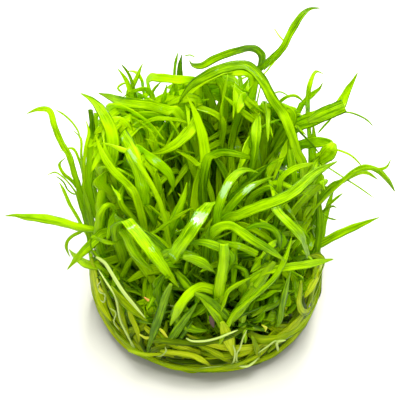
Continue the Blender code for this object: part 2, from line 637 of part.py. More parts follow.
def long_leaf_choices(width, visible, blunt):
    """Give the ways in which a long leaf may stand on the mat with a stalk of its own."""
    for place in places_around(ideal_root(visible), 2.2, 6):
        if place.length > PLANTLET_FIELD_RADIUS + 3.0:
            continue
        root = Vector((place.x, place.y, MAT_HEIGHT + CLEARANCE))
        path = grown_path(root, Vector((0.0, 0.0, 0.0)), visible, LONG_LEAF_POINTS, (0.0, 0.0))
        widths = blade_widths(path, width, min(STALK_WIDTH, width), blunt, 0.4)
        first_normal = Vector((root.x - visible[-1].x, root.y - visible[-1].y, 0.01))
        yield None, None, path, blade_frames(path, first_normal, DRAWN_FACING), widths


def plantlet_leaf_choices(plantlets, width, visible, blunt):
    """Give the ways in which a drawn leaf may grow from a crown side near it."""
    for plantlet, k in free_sides(plantlets, visible):
        base_ring = plantlet.side(k)
        root = sum(base_ring, Vector((0.0, 0.0, 0.0))) / 3
        outward = plantlet.outward(k)
        for bulge in BULGES:
            path = grown_path(root, outward, visible, DRAWN_LEAF_POINTS, bulge)
            widths = blade_widths(path, width, min(STALK_WIDTH, width), blunt, 0.4)
            first_normal = Vector((0.0, 0.0, 1.0)) - outward * 0.2
            yield plantlet, k, path, blade_frames(path, first_normal, DRAWN_FACING), widths


def ways_to_fit(room, view, plantlets, name, leaf):
    """Give the ways in which a drawn leaf meets nothing, each with a cost first."""
    width, heights, trace = leaf
    blunt = name in BLUNT_LEAVES
    for lift in LIFTS:
        visible = drawn_curve(heights, trace, lift)
        if plantlets:
            choices = plantlet_leaf_choices(plantlets, width, visible, blunt)
        else:
            choices = long_leaf_choices(width, visible, blunt)
        for plantlet, k, path, frames, widths in choices:
            owner = plantlet.name if plantlet else name
            base_ring = plantlet.side(k) if plantlet else None
            rings, solids, wide_solids = leaf_solids(base_ring, path, frames, widths)
            if room.is_free(owner, *wide_solids) and not crosses_itself(rings, path[-1]):
                cost = view.hidden_by(path, width * SHOWN_SHARE) + LIFT_COST * abs(lift)
                yield cost, owner, plantlet, k, rings, solids, path[-1]


def fit_drawn_leaf(room, view, plantlets, name, leaf):
    """Put a drawn leaf where it hides least of the others, and return its rings and tip."""
    best = None
    for tried, way in enumerate(ways_to_fit(room, view, plantlets, name, leaf), 1):
        if best is None or way[0] < best[0]:
            best = way
        if way[0] == 0.0 or tried == BEST_OF:
            break
    _, owner, plantlet, k, rings, solids, tip = best
    room.add(owner, *solids)
    if plantlet:
        plantlet.leaves[k] = (rings, tip)
    return rings, tip


def free_sides(plantlets, visible):
    """Return the free crown sides near a leaf's root, the most fitting ones first."""
    ideal = ideal_root(visible)
    nearest = sorted(plantlets, key=lambda p: (p.place - ideal).length)[:NEAR_CROWNS]
    sides = []
    for plantlet in nearest:
        towards = Vector((visible[0].x, visible[0].y)) - plantlet.place
        for k in range(CROWN_SIDES):
            if k not in plantlet.leaves:
                aim = plantlet.outward(k).to_2d().dot(towards.normalized())
                sides.append(((plantlet.place - ideal).length - 4.0 * aim, plantlet.name, plantlet, k))
    return [(plantlet, k) for _, _, plantlet, k in sorted(sides, key=lambda s: s[:2])][:NEAR_SIDES]


def wild_path(draw, root, outward, count):
    """Return the path of a leaf that rises from a crown side and bends over at a chance angle."""
    length = draw.uniform(*OTHER_LEAF_LENGTH)
    away = Vector((root.x, root.y, 0.0)) / PLANTLET_FIELD_RADIUS
    lean = math.radians(draw.uniform(1.0, 9.0) + 9.0 * away.length)
    bend = math.radians(draw.uniform(25.0, 95.0))
    heading = (outward + away * 1.3).normalized()
    heading.rotate(Matrix.Rotation(draw.uniform(-0.5, 0.5), 3, "Z"))
    turn = Matrix.Rotation(draw.uniform(-0.09, 0.09), 3, "Z")
    points = [root + outward * RISING_OUT + Vector((0.0, 0.0, RISING_UP))]
    steps = 14
    for i in range(steps):
        angle = lean + (bend - lean) * (i / (steps - 1)) ** 2.6
        step = heading * math.sin(angle) + Vector((0.0, 0.0, math.cos(angle)))
        points.append(points[-1] + step * length / steps)
        heading.rotate(turn)
    return [root] + even_curve(points, count - 1), Vector((0.0, 0.0, 0.6)) - heading


def within_clump(path):
    """Tell whether a path stays within the clump's outline, height and girth."""
    for point in path[2:]:
        girth = MAT_RADIUS + 0.14 * point.z
        if point.z > CLUMP_HEIGHT or point.to_2d().length > girth or not is_seen_in_clump(point):
            return False
    return True


def wall_path(draw, root, outward, count):
    """Return the path of a leaf that grew outwards until the cup wall turned it upwards."""
    angle = math.atan2(root.y, root.x) + draw.uniform(-0.12, 0.12)
    slant = draw.uniform(-0.009, 0.009)
    rise = draw.uniform(*WALL_LEAF_RISE)
    girth = WALL_RADIUS + draw.uniform(-1.5, 0.8)
    points = [root + outward * RISING_OUT + Vector((0.0, 0.0, RISING_UP * 0.5))]
    for share in (0.22, 0.45, 0.72, 1.0):
        height = root.z + rise * share
        turned = angle + slant * rise * share
        radius = girth + WALL_FLARE * height
        points.append(Vector((radius * math.cos(turned), radius * math.sin(turned), height)))
    return [root] + even_curve(points, count - 1), -Vector((math.cos(angle), math.sin(angle), 0.0))


def grow_other_leaves(room, view, plantlets, draw, at_wall):
    """Grow leaves on the crown sides that no drawn leaf took, at the wall or elsewhere."""
    for plantlet in plantlets:
        for k in range(CROWN_SIDES):
            outward = plantlet.outward(k)
            faces_wall = outward.to_2d().dot(plantlet.place) > WALL_SIDE_LIMIT
            if k in plantlet.leaves or faces_wall != at_wall:
                continue
            base_ring = plantlet.side(k)
            root = sum(base_ring, Vector((0.0, 0.0, 0.0))) / 3
            for _ in range(OTHER_LEAF_TRIES):
                if at_wall:
                    path, facing = wall_path(draw, root, outward, WALL_RISER_POINTS)
                else:
                    path, facing = wild_path(draw, root, outward, OTHER_LEAF_POINTS)
                    facing.rotate(Matrix.Rotation(draw.uniform(-0.9, 0.9), 3, "Z"))
                width = draw.uniform(*OTHER_LEAF_WIDTH)
                if not within_clump(path) or view.hidden_by(path, width) > 2:
                    continue
                widths = blade_widths(path, width, STALK_WIDTH, False, 0.4)
                frames = blade_frames(path, Vector((0.0, 0.0, 1.0)) - outward * 0.2, facing)
                placed = place_leaf(room, plantlet.name, base_ring, path, frames, widths)
                if placed:
                    plantlet.leaves[k] = placed
                    break


def wall_frames(path):
    """Return the side and face directions of a blade whose back lies against the wall."""
    frames = []
    last = len(path) - 1
    for i, point in enumerate(path):
        ahead = (path[min(i + 1, last)] - path[max(i - 1, 0)]).normalized()
        radial = Vector((point.x, point.y, 0.0)).normalized()
        normal = (radial - ahead * radial.dot(ahead)).normalized()
        frames.append((normal.cross(ahead).normalized(), normal))
    return frames


def place_wall_piece(room, name, path, width):
    """Take the room for a piece at the wall, or return None if it meets a piece."""
    widths = blade_widths(path, width, width * 0.6, False, 0.15)
    frames = wall_frames(path)
    wide = blade_rings(path, widths, frames, CLEARANCE)
    rings = blade_rings(path, widths, frames)
    if not room.is_free(name, *blade_solids(wide, path[-1])) or crosses_itself(rings, path[-1]):
        return None
    room.add(name, *blade_solids(rings, path[-1]))
    return rings, path[-1]


def fit_wall_piece(room, name, width, heights, trace, count):
    """Find room for a drawn leaf or root that lies against the mould's wall."""
    for lift in LIFTS:
        path = even_curve(drawn_curve(heights, trace, lift), count)
        if path[-1].z > ROOT_DIAMETER:
            placed = place_wall_piece(room, name, path, width)
            if placed:
                return placed
    return None


def fit_runner(room, name, width, start, sweep, height):
    """Find room for a runner, by small turns round the clump."""
    for turn in RUNNER_TURNS:
        for rise in RUNNER_RISES:
            path = runner_curve(start + turn, sweep, height + rise)
            placed = place_wall_piece(room, name, path, width)
            if placed:
                return placed
    return None


def runner_curve(start, sweep, height):
    """Return the path of a runner that leaves the mat, follows the wall and comes back."""
    path = []
    for i in range(RUNNER_POINTS):
        t = i / (RUNNER_POINTS - 1)
        bow = math.sin(math.pi * t) ** 0.6
        angle = math.radians(start + sweep * t)
        radius = MAT_RADIUS - 2.4 + (RUNNER_RADIUS - MAT_RADIUS + 2.4) * bow
        level = MAT_HEIGHT + 1.2 + (height - MAT_HEIGHT - 1.2) * bow
        path.append(Vector((radius * math.cos(angle), radius * math.sin(angle), level)))
    return path


def mat_mesh():
    """Return the root mat: a flat foot, a round corner and a wall with the marks of runners."""
    profile = [(MAT_FLOOR_RADIUS, 0.0)]
    for i in range(1, 5):
        angle = math.pi / 2 * i / 4
        profile.append((MAT_FLOOR_RADIUS + (MAT_RADIUS - MAT_FLOOR_RADIUS) * math.sin(angle),
                        MAT_HEIGHT * 0.7 * (1.0 - math.cos(angle))))
    profile.append((MAT_RADIUS - 0.4, MAT_HEIGHT * 0.88))
    profile.append((MAT_RADIUS - 2.2, MAT_HEIGHT))
    vertices = []
    for level, (radius, height) in enumerate(profile):
        for k in range(MAT_SECTORS):
            angle = 2 * math.pi * k / MAT_SECTORS
            ridge = math.sin(9 * angle + 2.3 * level) + 0.6 * math.sin(5 * angle - 1.9 * level)
            inner = level in (0, len(profile) - 1)
            out = radius + (0.0 if inner else MAT_RIDGE * 0.6 * ridge)
            vertices.append(Vector((out * math.cos(angle), out * math.sin(angle), height)))
    faces = []
    for level in range(len(profile) - 1):
        for k in range(MAT_SECTORS):
            after = (k + 1) % MAT_SECTORS
            low, high = level * MAT_SECTORS, (level + 1) * MAT_SECTORS
            faces.append((low + k, low + after, high + after, high + k))
    top = (len(profile) - 1) * MAT_SECTORS
    faces.append(tuple(range(MAT_SECTORS - 1, -1, -1)))
    faces.append(tuple(range(top, top + MAT_SECTORS)))
    return vertices, faces


def plantlet_crowns():
    """Return the plantlets' crowns, spread over the mat like the seeds of a sunflower."""
    golden_angle = math.pi * (3.0 - math.sqrt(5.0))
    plantlets = []
    for i in range(PLANTLETS):
        radius = PLANTLET_FIELD_RADIUS * math.sqrt((i + 0.5) / PLANTLETS)
        angle = i * golden_angle
        place = Vector((radius * math.cos(angle), radius * math.sin(angle)))
        plantlets.append(Plantlet(f"plantlet_{i + 1:02d}", place, angle * 1.7))
    return plantlets


def leaf_mesh(rings, tip):
    """Return the vertices and faces of one leaf with its own closed foot."""
    vertices = [corner for ring in rings for corner in ring] + [tip]
    return vertices, tube_faces(rings, 0, len(vertices) - 1, True)


def finish(name, colour, roughness):
    """Return a material of one colour."""
    material = bpy.data.materials.new(name)
    material.use_nodes = True
    shader = material.node_tree.nodes["Principled BSDF"]
    shader.inputs["Base Color"].default_value = (*colour, 1.0)
    shader.inputs["Roughness"].default_value = roughness
    shader.inputs["Metallic"].default_value = 0.0
    return material


def make_object(name, mesh_data, colour, roughness=0.35):
    """Make an object, in metres, from vertices and faces in millimetres."""
    vertices, faces = mesh_data
    mesh = bpy.data.meshes.new(name)
    mesh.from_pydata([tuple(v * MM) for v in vertices], [], faces)
    mesh.materials.append(finish(name, colour, roughness))
    mesh.update()
    obj = bpy.data.objects.new(name, mesh)
    bpy.context.scene.collection.objects.link(obj)
    return obj


def main():
    """Build the clump."""
    for old in list(bpy.data.objects):
        bpy.data.objects.remove(old)
    room = Room()
    mat = mat_mesh()
    mat_solid = searchable(*mat)
    room.add("root_mat", mat_solid, mat_solid)
    plantlets = plantlet_crowns()
    for plantlet in plantlets:
        crown = searchable(*plantlet.mesh())
        room.add(plantlet.name, crown, crown)
    make_object("root_mat", mat, MAT_COLOUR, 0.6)
    view = View()
    for drawn in (LONG_LEAVES, WALL_LEAVES, LOOSE_ROOTS, PLANTLET_LEAVES):
        for width, heights, trace in drawn.values():
            view.show(drawn_curve(heights, trace, 0.0), width * SHOWN_SHARE)
    for name, leaf in LONG_LEAVES.items():
        make_object(name, leaf_mesh(*fit_drawn_leaf(room, view, None, name, leaf)), LEAF_COLOUR)
    for name, leaf in WALL_LEAVES.items():
        placed = fit_wall_piece(room, name, *leaf, WALL_LEAF_POINTS)
        make_object(name, leaf_mesh(*placed), WALL_COLOUR)
    for name, root in LOOSE_ROOTS.items():
        make_object(name, leaf_mesh(*fit_wall_piece(room, name, *root, ROOT_POINTS)), ROOT_COLOUR)
    for name, runner in RUNNERS.items():
        make_object(name, leaf_mesh(*fit_runner(room, name, *runner)), WALL_COLOUR)
    for name, leaf in PLANTLET_LEAVES.items():
        fit_drawn_leaf(room, view, plantlets, name, leaf)
    draw = random.Random(SEED)
    grow_other_leaves(room, view, plantlets, draw, True)
    grow_other_leaves(room, view, plantlets, draw, False)
    for plantlet in plantlets:
        make_object(plantlet.name, plantlet.mesh(), LEAF_COLOUR)


main()
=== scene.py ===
"""The looks of a cup-grown clump of dwarf sagittaria, built round its solids.

Each leaf solid of the frame is three-sided. It is read back as a middle line with widths, and
a thin channelled blade with a midrib grows along it. Young leaves, strands of the root mat,
fine strays and specks are added to what they grow from. Lengths here are millimetres, and
become metres when a mesh is made. Places that a viewer in front sees are drawn on a sheet.
"""
import json
import math
import random

import bmesh
import bpy
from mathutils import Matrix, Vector
from mathutils.bvhtree import BVHTree


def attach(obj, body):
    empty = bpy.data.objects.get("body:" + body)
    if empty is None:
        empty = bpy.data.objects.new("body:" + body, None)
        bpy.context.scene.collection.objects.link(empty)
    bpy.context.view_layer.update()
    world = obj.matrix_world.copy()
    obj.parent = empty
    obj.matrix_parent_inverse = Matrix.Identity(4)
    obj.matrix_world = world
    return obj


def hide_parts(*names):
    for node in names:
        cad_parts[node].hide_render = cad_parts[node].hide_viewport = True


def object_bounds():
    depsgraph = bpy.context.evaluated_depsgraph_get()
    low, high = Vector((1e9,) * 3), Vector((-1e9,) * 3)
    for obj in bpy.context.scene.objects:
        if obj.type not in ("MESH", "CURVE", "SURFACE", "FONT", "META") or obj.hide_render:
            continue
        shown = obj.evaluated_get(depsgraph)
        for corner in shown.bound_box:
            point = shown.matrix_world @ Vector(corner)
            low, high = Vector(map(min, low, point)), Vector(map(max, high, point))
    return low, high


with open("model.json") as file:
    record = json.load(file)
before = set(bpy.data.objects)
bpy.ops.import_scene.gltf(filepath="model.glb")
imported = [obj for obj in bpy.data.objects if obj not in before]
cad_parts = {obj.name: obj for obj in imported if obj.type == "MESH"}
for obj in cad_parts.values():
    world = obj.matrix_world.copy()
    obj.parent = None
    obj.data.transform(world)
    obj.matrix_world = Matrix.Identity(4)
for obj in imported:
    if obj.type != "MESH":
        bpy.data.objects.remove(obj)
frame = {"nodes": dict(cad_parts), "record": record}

CAD_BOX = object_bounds()
MM = 0.001
SEED = 7
TURN = 2.0 * math.pi
UP = Vector((0.0, 0.0, 1.0))

# The viewer, and the sheet of paper that the viewer sees the clump on
EYE = Vector((0.0, -385.7, 459.6))
SHEET_CENTRE = Vector((-2.3, 28.3, 27.1))
SHEET_UNITS_PER_MM = 2.49
SHEET_SIZE = 400.0
SENSOR_WIDTH = 36.0

# The root mat
MAT_FLOOR_RADIUS = 37.8
MAT_RADIUS = 42.8
MAT_HEIGHT = 12.0
MAT_CORNER_HEIGHT = 8.4
WALL_FLARE = 2.9
WALL_FLARE_HEIGHT = 9.0

# What the viewer sees: how light the leaf at a place on the sheet is, in hundredths. This is the leaf's own
# tone together with painted light and shade: dark where leaves lie in shade deep in the clump, light where
# they are lit.
LEAF_TONES_AND_PAINTED_LIGHT = (
    (150, 78, 80), (225, 68, 32), (270, 95, 38), (285, 110, 36), (182, 70, 25), (150, 105, 55),
    (118, 100, 40), (132, 80, 30), (103, 115, 50), (111, 150, 60), (91, 130, 22), (165, 119, 70),
    (180, 140, 65), (197, 125, 80), (205, 155, 70), (199, 182, 30), (137, 170, 76), (141, 195, 74),
    (155, 163, 78), (113, 170, 70), (110, 145, 75), (45, 109, 60), (62, 144, 65), (30, 217, 45),
    (80, 228, 72), (112, 205, 72), (88, 243, 55), (140, 237, 52), (165, 270, 66), (152, 252, 60),
    (131, 248, 55), (200, 217, 44), (190, 228, 42), (178, 250, 58), (221, 200, 60), (247, 171, 48),
    (234, 174, 50), (178, 212, 62), (222, 270, 68), (240, 230, 68), (280, 255, 56), (250, 210, 60),
    (315, 174, 42), (290, 188, 46), (320, 116, 42), (347, 92, 58), (350, 229, 48), (340, 182, 45),
    (388, 181, 35), (245, 48, 30), (210, 61, 42), (290, 35, 40), (313, 8, 30), (290, 225, 50),
    (302, 242, 52), (225, 153, 38), (266, 128, 42), (258, 135, 46), (252, 152, 42), (257, 120, 48),
    (325, 142, 50), (195, 259, 55), (183, 300, 75), (262, 290, 50), (250, 300, 60), (158, 296, 30),
    (115, 278, 55), (288, 334, 55), (262, 334, 45), (306, 318, 50), (180, 357, 75), (150, 350, 30),
    (252, 179, 18), (215, 100, 90), (235, 102, 95), (240, 120, 80), (225, 122, 75), (250, 104, 72),
    (205, 108, 60), (268, 112, 60), (190, 108, 60), (130, 116, 80), (140, 132, 68), (135, 148, 60),
    (120, 126, 75), (170, 130, 60), (104, 140, 60), (285, 142, 50), (295, 162, 40), (255, 146, 34),
    (120, 150, 80), (125, 190, 60), (100, 180, 75), (95, 210, 75), (165, 190, 25), (175, 165, 20),
    (215, 170, 25), (225, 180, 25), (305, 190, 55), (300, 215, 50), (160, 220, 30), (270, 230, 35),
    (190, 280, 25), (130, 270, 50), (235, 260, 35), (265, 250, 30), (285, 285, 45), (200, 320, 40),
    (112, 160, 95), (130, 180, 80), (92, 150, 80), (152, 142, 90), (116, 132, 78), (129, 137, 50),
    (160, 135, 80), (100, 165, 90), (185, 120, 80), (265, 130, 70), (280, 120, 65), (295, 140, 60),
    (240, 135, 70))

# How far round each place a tone reaches, and what is added for leaves that no place names: a lift, and
# painted light that grows towards the top of the sheet
TONE_REACH_SQUARED = 60.0
TONE_BASE = 0.04
PAINTED_LIGHT_RISE = 0.0013
LEAF_TONE_SPREAD = (-0.20, 0.20)
FILLING_TONE_SPREAD = (-0.26, 0.28)
FILLING_TONE_MOST = 0.80

# Where a film of water lies on a leaf, glossy and with a painted white highlight: the place on the sheet,
# how far along the leaf, how thick
WET_GLINT_PLACES = (
    (201, 218, 10.0, 1.1), (248, 188, 6.0, 0.95), (229, 190, 7.5, 1.0), (260, 229, 5.0, 1.1),
    (132, 156, 3.0, 0.9), (124, 138, 2.0, 0.8), (154, 163, 4.0, 0.9), (287, 212, 3.5, 0.8),
    (312, 244, 3.5, 0.8), (300, 237, 3.0, 0.6), (132, 227, 1.5, 1.0), (150, 250, 4.0, 0.6),
    (172, 255, 1.2, 1.0), (210, 262, 2.5, 0.6), (254, 92, 3.5, 0.6), (239, 246, 2.5, 0.6),
    (179, 285, 1.0, 0.8), (212, 70, 2.5, 0.5), (62, 151, 1.6, 0.9), (240, 145, 2.5, 0.8),
    (180, 120, 3.0, 0.4), (316, 152, 2.0, 0.6), (160, 110, 3.0, 0.4), (137, 185, 2.5, 0.5))

# The leaves whose tips are torn or worn blunt, by where their tips are seen
BLUNT_TIPS = ((224, 243), (258, 255), (143, 206), (90, 107), (308, 258))
BLUNT_REACH = 7.0

# Single things that can be told apart: kind, width, tone, heights from end to end, trace on the sheet
DRAWN_THINGS = {
    "hair_left": ("hair", 0.8, 0.45, (83, 85), (80, 136), (78, 131), (75, 126), (70, 120), (63, 114),
        (56, 110)),
    "hair_back": ("hair", 0.6, 0.4, (92, 93), (184, 56), (190, 55), (195, 57)),
    "hair_arch": ("hair", 0.7, 0.5, (84, 87), (270, 98), (275, 93), (281, 92), (289, 96)),
    "hair_star": ("hair", 1.0, 0.5, (88, 89), (122, 93), (118, 88), (122, 84), (126, 83)),
    "hair_right": ("hair", 0.8, 0.3, (84, 80), (339, 111), (345, 112), (352, 113), (360, 116), (367, 120),
        (373, 126)),
    "hair_claw": ("hair", 0.7, 0.4, (74, 66), (322, 163), (329, 168), (346, 179), (360, 188), (374, 198)),
    "hair_fold": ("hair", 0.9, 0.6, (84, 76), (331, 119), (325, 125), (318, 133)),
    "hair_dark": ("hair", 0.9, 0.15, (88, 78), (297, 127), (300, 132), (310, 142), (319, 153)),
    "root_stray": ("root", 0.6, 0.55, (39, 36), (188, 299), (176, 306), (165, 304), (157, 300), (150, 299)),
    "inner_left": ("leaf", 4.0, 0.3, (10, 22, 32, 41, 50), (178, 232), (180, 205), (181, 185), (182, 168),
        (183, 150)),
    "inner_right": ("leaf", 4.0, 0.28, (10, 22, 31, 39, 47), (211, 238), (212, 215), (213, 198), (213, 184),
        (214, 168)),
    "fold_turned": ("torn", 5.6, 0.66, (78, 77, 73, 69), (334, 143), (331, 149), (325, 156), (317, 161)),
    "fold_right": ("torn", 5.2, 0.4, (84, 88, 91), (308, 122), (322, 115), (334, 110), (346, 105)),
    "bit_orange": ("orange", 1.0, 0.6, (39, 38), (144, 297), (148, 300), (152, 301), (155, 299)),
}

# Things at the cup's wall: kind, width, tone, how far inside the wall, trace on the sheet
WALL_THINGS = {
    "pale_strip": ("pale", 1.6, 0.85, -0.7, (96, 257), (101, 260), (107, 266), (122, 290), (134, 305),
        (146, 319)),
    "rim_left": ("blade", 2.4, 0.75, -0.3, (90, 264), (91, 280), (94, 297), (104, 319), (113, 332),
        (122, 343), (132, 351), (142, 357)),
    "rim_low_left": ("blade", 2.2, 0.5, 0.0, (96, 298), (110, 324), (126, 342), (142, 354), (160, 362),
        (178, 367)),
    "rim_front": ("blade", 2.2, 0.7, 0.2, (160, 361), (175, 366), (200, 369), (225, 369), (245, 366),
        (262, 360)),
    "rim_right": ("blade", 2.6, 0.62, 0.0, (249, 364), (263, 359), (277, 352), (294, 337), (306, 322),
        (313, 308)),
    "right_sheet": ("blade", 4.4, 0.8, 0.2, (323, 257), (321, 268), (317, 277), (311, 287), (304, 298)),
    "right_inner": ("blade", 3.0, 0.55, 0.8, (317, 262), (313, 280), (311, 297), (303, 314)),
    "left_sheet": ("blade", 5.0, 0.72, 0.2, (92, 258), (94, 274), (97, 290), (103, 306), (112, 322)),
    "right_outer": ("blade", 4.4, 0.42, 0.3, (321, 270), (319, 286), (315, 300), (307, 314)),
    "low_left": ("leaf", 3.2, 0.34, -0.5, (171, 284), (166, 296), (162, 308), (158, 320), (153, 334),
        (147, 353)),
    "low_long": ("leaf", 4.2, 0.5, 1.5, (274, 262), (266, 273), (258, 285), (249, 297), (240, 309),
        (232, 319), (225, 327)),
    "low_upright": ("leaf", 3.0, 0.62, 2.5, (252, 283), (248, 296), (245, 308), (242, 320), (241, 331)),
    "low_slope": ("leaf", 3.4, 0.32, 2.0, (195, 293), (206, 299), (217, 307), (227, 317), (235, 326)),
    "low_bend": ("leaf", 3.4, 0.4, 1.0, (177, 304), (175, 314), (181, 323), (193, 329), (208, 331)),
    "low_right": ("leaf", 2.4, 0.48, 1.5, (252, 316), (264, 309), (277, 303), (285, 291)),
    "low_middle": ("leaf", 3.6, 0.46, 3.5, (183, 257), (193, 259), (204, 264), (214, 272)),
    "left_low": ("blade", 3.2, 0.52, -0.3, (111, 286), (121, 299), (133, 310), (149, 322)),
    "left_one": ("blade", 2.2, 0.65, 0.5, (112, 286), (117, 300), (123, 318), (130, 338)),
    "left_two": ("blade", 2.6, 0.45, 0.8, (100, 276), (107, 296), (115, 315), (127, 333)),
    "left_three": ("blade", 2.4, 0.8, 0.6, (127, 300), (131, 316), (137, 330), (140, 345)),
    "front_band": ("blade", 2.8, 0.2, -0.2, (150, 341), (166, 341), (190, 343), (216, 340), (234, 334),
        (247, 327)),
    "front_fold": ("blade", 2.4, 0.85, -0.1, (160, 351), (170, 352), (191, 355), (203, 361), (212, 367)),
    "front_dark": ("blade", 1.8, 0.05, 0.4, (166, 358), (176, 361), (194, 362), (204, 365)),
    "front_crown": ("blade", 4.4, 0.88, 0.0, (222, 322), (226, 333), (230, 344), (234, 357)),
    "front_end": ("blade", 2.2, 0.48, 0.0, (252, 336), (256, 347), (258, 355), (259, 362)),
    "front_slope": ("blade", 2.6, 0.55, 0.5, (196, 344), (210, 350), (224, 358), (236, 366)),
    "right_slope": ("blade", 2.6, 0.5, 0.5, (268, 352), (280, 340), (296, 330), (308, 318)),
    "root_left_long": ("root", 0.9, 0.85, -0.8, (98, 269), (107, 283), (116, 298), (120, 319), (129, 338),
        (135, 348)),
    "root_band": ("root", 0.9, 0.85, -0.9, (186, 338), (192, 341), (205, 341), (218, 338), (228, 334),
        (238, 330)),
    "root_front_low": ("root", 0.8, 0.85, -0.6, (233, 345), (235, 352), (234, 360), (230, 366), (218, 367),
        (206, 368), (196, 369)),
    "root_front_long": ("root", 0.7, 0.8, -0.5, (247, 330), (243, 338), (240, 348), (237, 353), (237, 361),
        (242, 364)),
    "root_right_long": ("root", 0.8, 0.6, -0.7, (292, 336), (283, 339), (275, 341), (268, 346), (258, 353)),
    "root_curl_left": ("root", 0.7, 0.6, -0.4, (100, 300), (104, 302), (105, 295), (100, 292), (98, 286),
        (101, 281)),
    "root_low_left": ("root", 0.7, 0.6, -0.4, (110, 308), (116, 313), (114, 322), (119, 330)),
    "root_under_fold": ("root", 0.7, 0.55, -0.3, (150, 353), (160, 356), (166, 351), (165, 347)),
    "curl_right": ("blade", 2.8, 0.74, -0.2, (301, 281), (300, 292), (299, 302), (302, 311), (307, 312),
        (311, 306)),
    "bit_brown": ("brown", 1.9, 0.4, 0.4, (210, 316), (212, 322), (214, 328)),
    "yellow_left": ("yellow", 1.4, 0.45, 0.0, (158, 327), (163, 332), (168, 338)),
    "yellow_low": ("yellow", 1.2, 0.35, 0.0, (139, 334), (146, 338), (153, 336)),
    "yellow_right": ("yellow", 1.1, 0.6, -0.4, (262, 325), (266, 328), (265, 332)),
    "yellow_side": ("yellow", 1.8, 0.4, 0.0, (97, 279), (99, 287), (104, 293)),
}

# The kinds of single thing: the piece that they make, its finish and its slot
KINDS = {
    "blade": ("root_mat_drawn_blades", "wall_leaf", "wall_leaf"),
    "root": ("root_mat_drawn_roots", "root", "root"),
    "pale": ("root_mat_pale_blades", "root", "wall_leaf"),
    "hair": ("leaf_hairs", "leaf", "leaf"),
    "torn": ("leaf_folds", "leaf", "leaf"),
    "leaf": ("leaf_low", "leaf", "leaf"),
    "orange": ("bit_orange", "orange", "root_mat"),
    "brown": ("bit_brown", "brown", "root_mat"),
    "yellow": ("bits_yellow", "yellow", "root_mat"),
}

# Where the search for the wall starts, for leaves and for other things, and where it ends
LEAF_TOP = 80.0
WALL_TOP = 48.0
WALL_LOW = 1.2
WALL_STEP = 0.2

# The room for every corner of the clump, in metres: the solids' box, a hair above the ground
GROUND_GAP = 0.05
ROOM_LOW = (CAD_BOX[0][0], CAD_BOX[0][1], GROUND_GAP * MM)
ROOM_HIGH = CAD_BOX[1]

# The outline of the clump on the sheet, and places where one sees right through it
OUTLINE = (
    (92, 270), (84, 235), (80, 205), (86, 150), (91, 120), (102, 114), (112, 103), (126, 96),
    (150, 88), (176, 84), (205, 74), (240, 62), (258, 70), (272, 94), (288, 108), (312, 116),
    (315, 142), (325, 165), (326, 188), (319, 205), (321, 240), (319, 262), (319, 290),
    (308, 320), (284, 340), (245, 364), (200, 370), (150, 361), (120, 336), (98, 304))
GAPS = (
    ((151, 84), (163, 84), (161, 99), (151, 99)),
    ((211, 97), (222, 94), (219, 109), (213, 115)),
    ((240, 80), (247, 80), (243, 90), (239, 90)),
    ((254, 84), (259, 82), (266, 98), (255, 106)),
    ((130, 133), (135, 133), (137, 142), (131, 139)),
    ((164, 122), (172, 122), (170, 134), (166, 132)),
    ((205, 122), (209, 122), (209, 129), (204, 129)),
    ((299, 132), (308, 140), (300, 143)),
    ((303, 150), (308, 150), (306, 160), (302, 158)),
    ((302, 198), (306, 200), (304, 207), (301, 206)))

# Leaves that fill the clump: the sheet's cells, the tries for each, and the room they have
GRID = 3.0
FILL_ROUNDS = 3
FILL_TRIES = 10
FILL_LOWEST = 24.0
CLUMP_HEIGHT = 92.0
OPEN_HEIGHT = 20.0
HIDDEN_MOST = 4
HIDDEN_DEPTH = 0.5

# Blades: how finely they are built, their thickness, waves and grooves
BLADE_STEPS = 6
TOP_PLACES = (-1.0, -0.7, -0.35, 0.0, 0.35, 0.7, 1.0)
UNDER_PLACES = (0.7, 0.35, 0.0, -0.35, -0.7)
STALK_THICKNESS = 1.0
STALK_SHARE = 0.35
BLADE_THICKNESS = 0.42
CHANNEL = 0.24
RUFFLE = 0.12
EDGE_WAVE = 0.035
GROOVE = 0.07
MIDRIB = 0.12
FACE_DEPTH = 0.2
SAME_CORNER = 2e-6
PHASES = (0.0, 6.28)

# The root mat's felt, the share of its levels that its side takes, and what lies round and on it
FELT_SECTORS = 96
FELT_LEVELS = 14
FELT_SIDE = 0.6
FELT_INSET = 2.6
FELT_LUMP = 0.11
WALL_POINTS = 7
WALL_BLADES = 130
WALL_STRANDS = 45
RISING_BLADES = 130
FLOOR_STRANDS = 150
TOP_STRANDS = 150
MAT_TONES = ((0.0, 0.20), (0.18, 0.42), (0.40, 0.65), (0.62, 0.88))

# The pale foot of a rosette
SHEATH_SIDES = 14
SHEATH_LEVELS = 6
SHEATH_RADIUS = 2.9
SHEATH_HEIGHT = 7.5

# How many veins a leaf has across, and how strongly mottling and fibres change its tone
VEINS = 9.0
MOTTLING = 0.85
FIBRES = 1.5

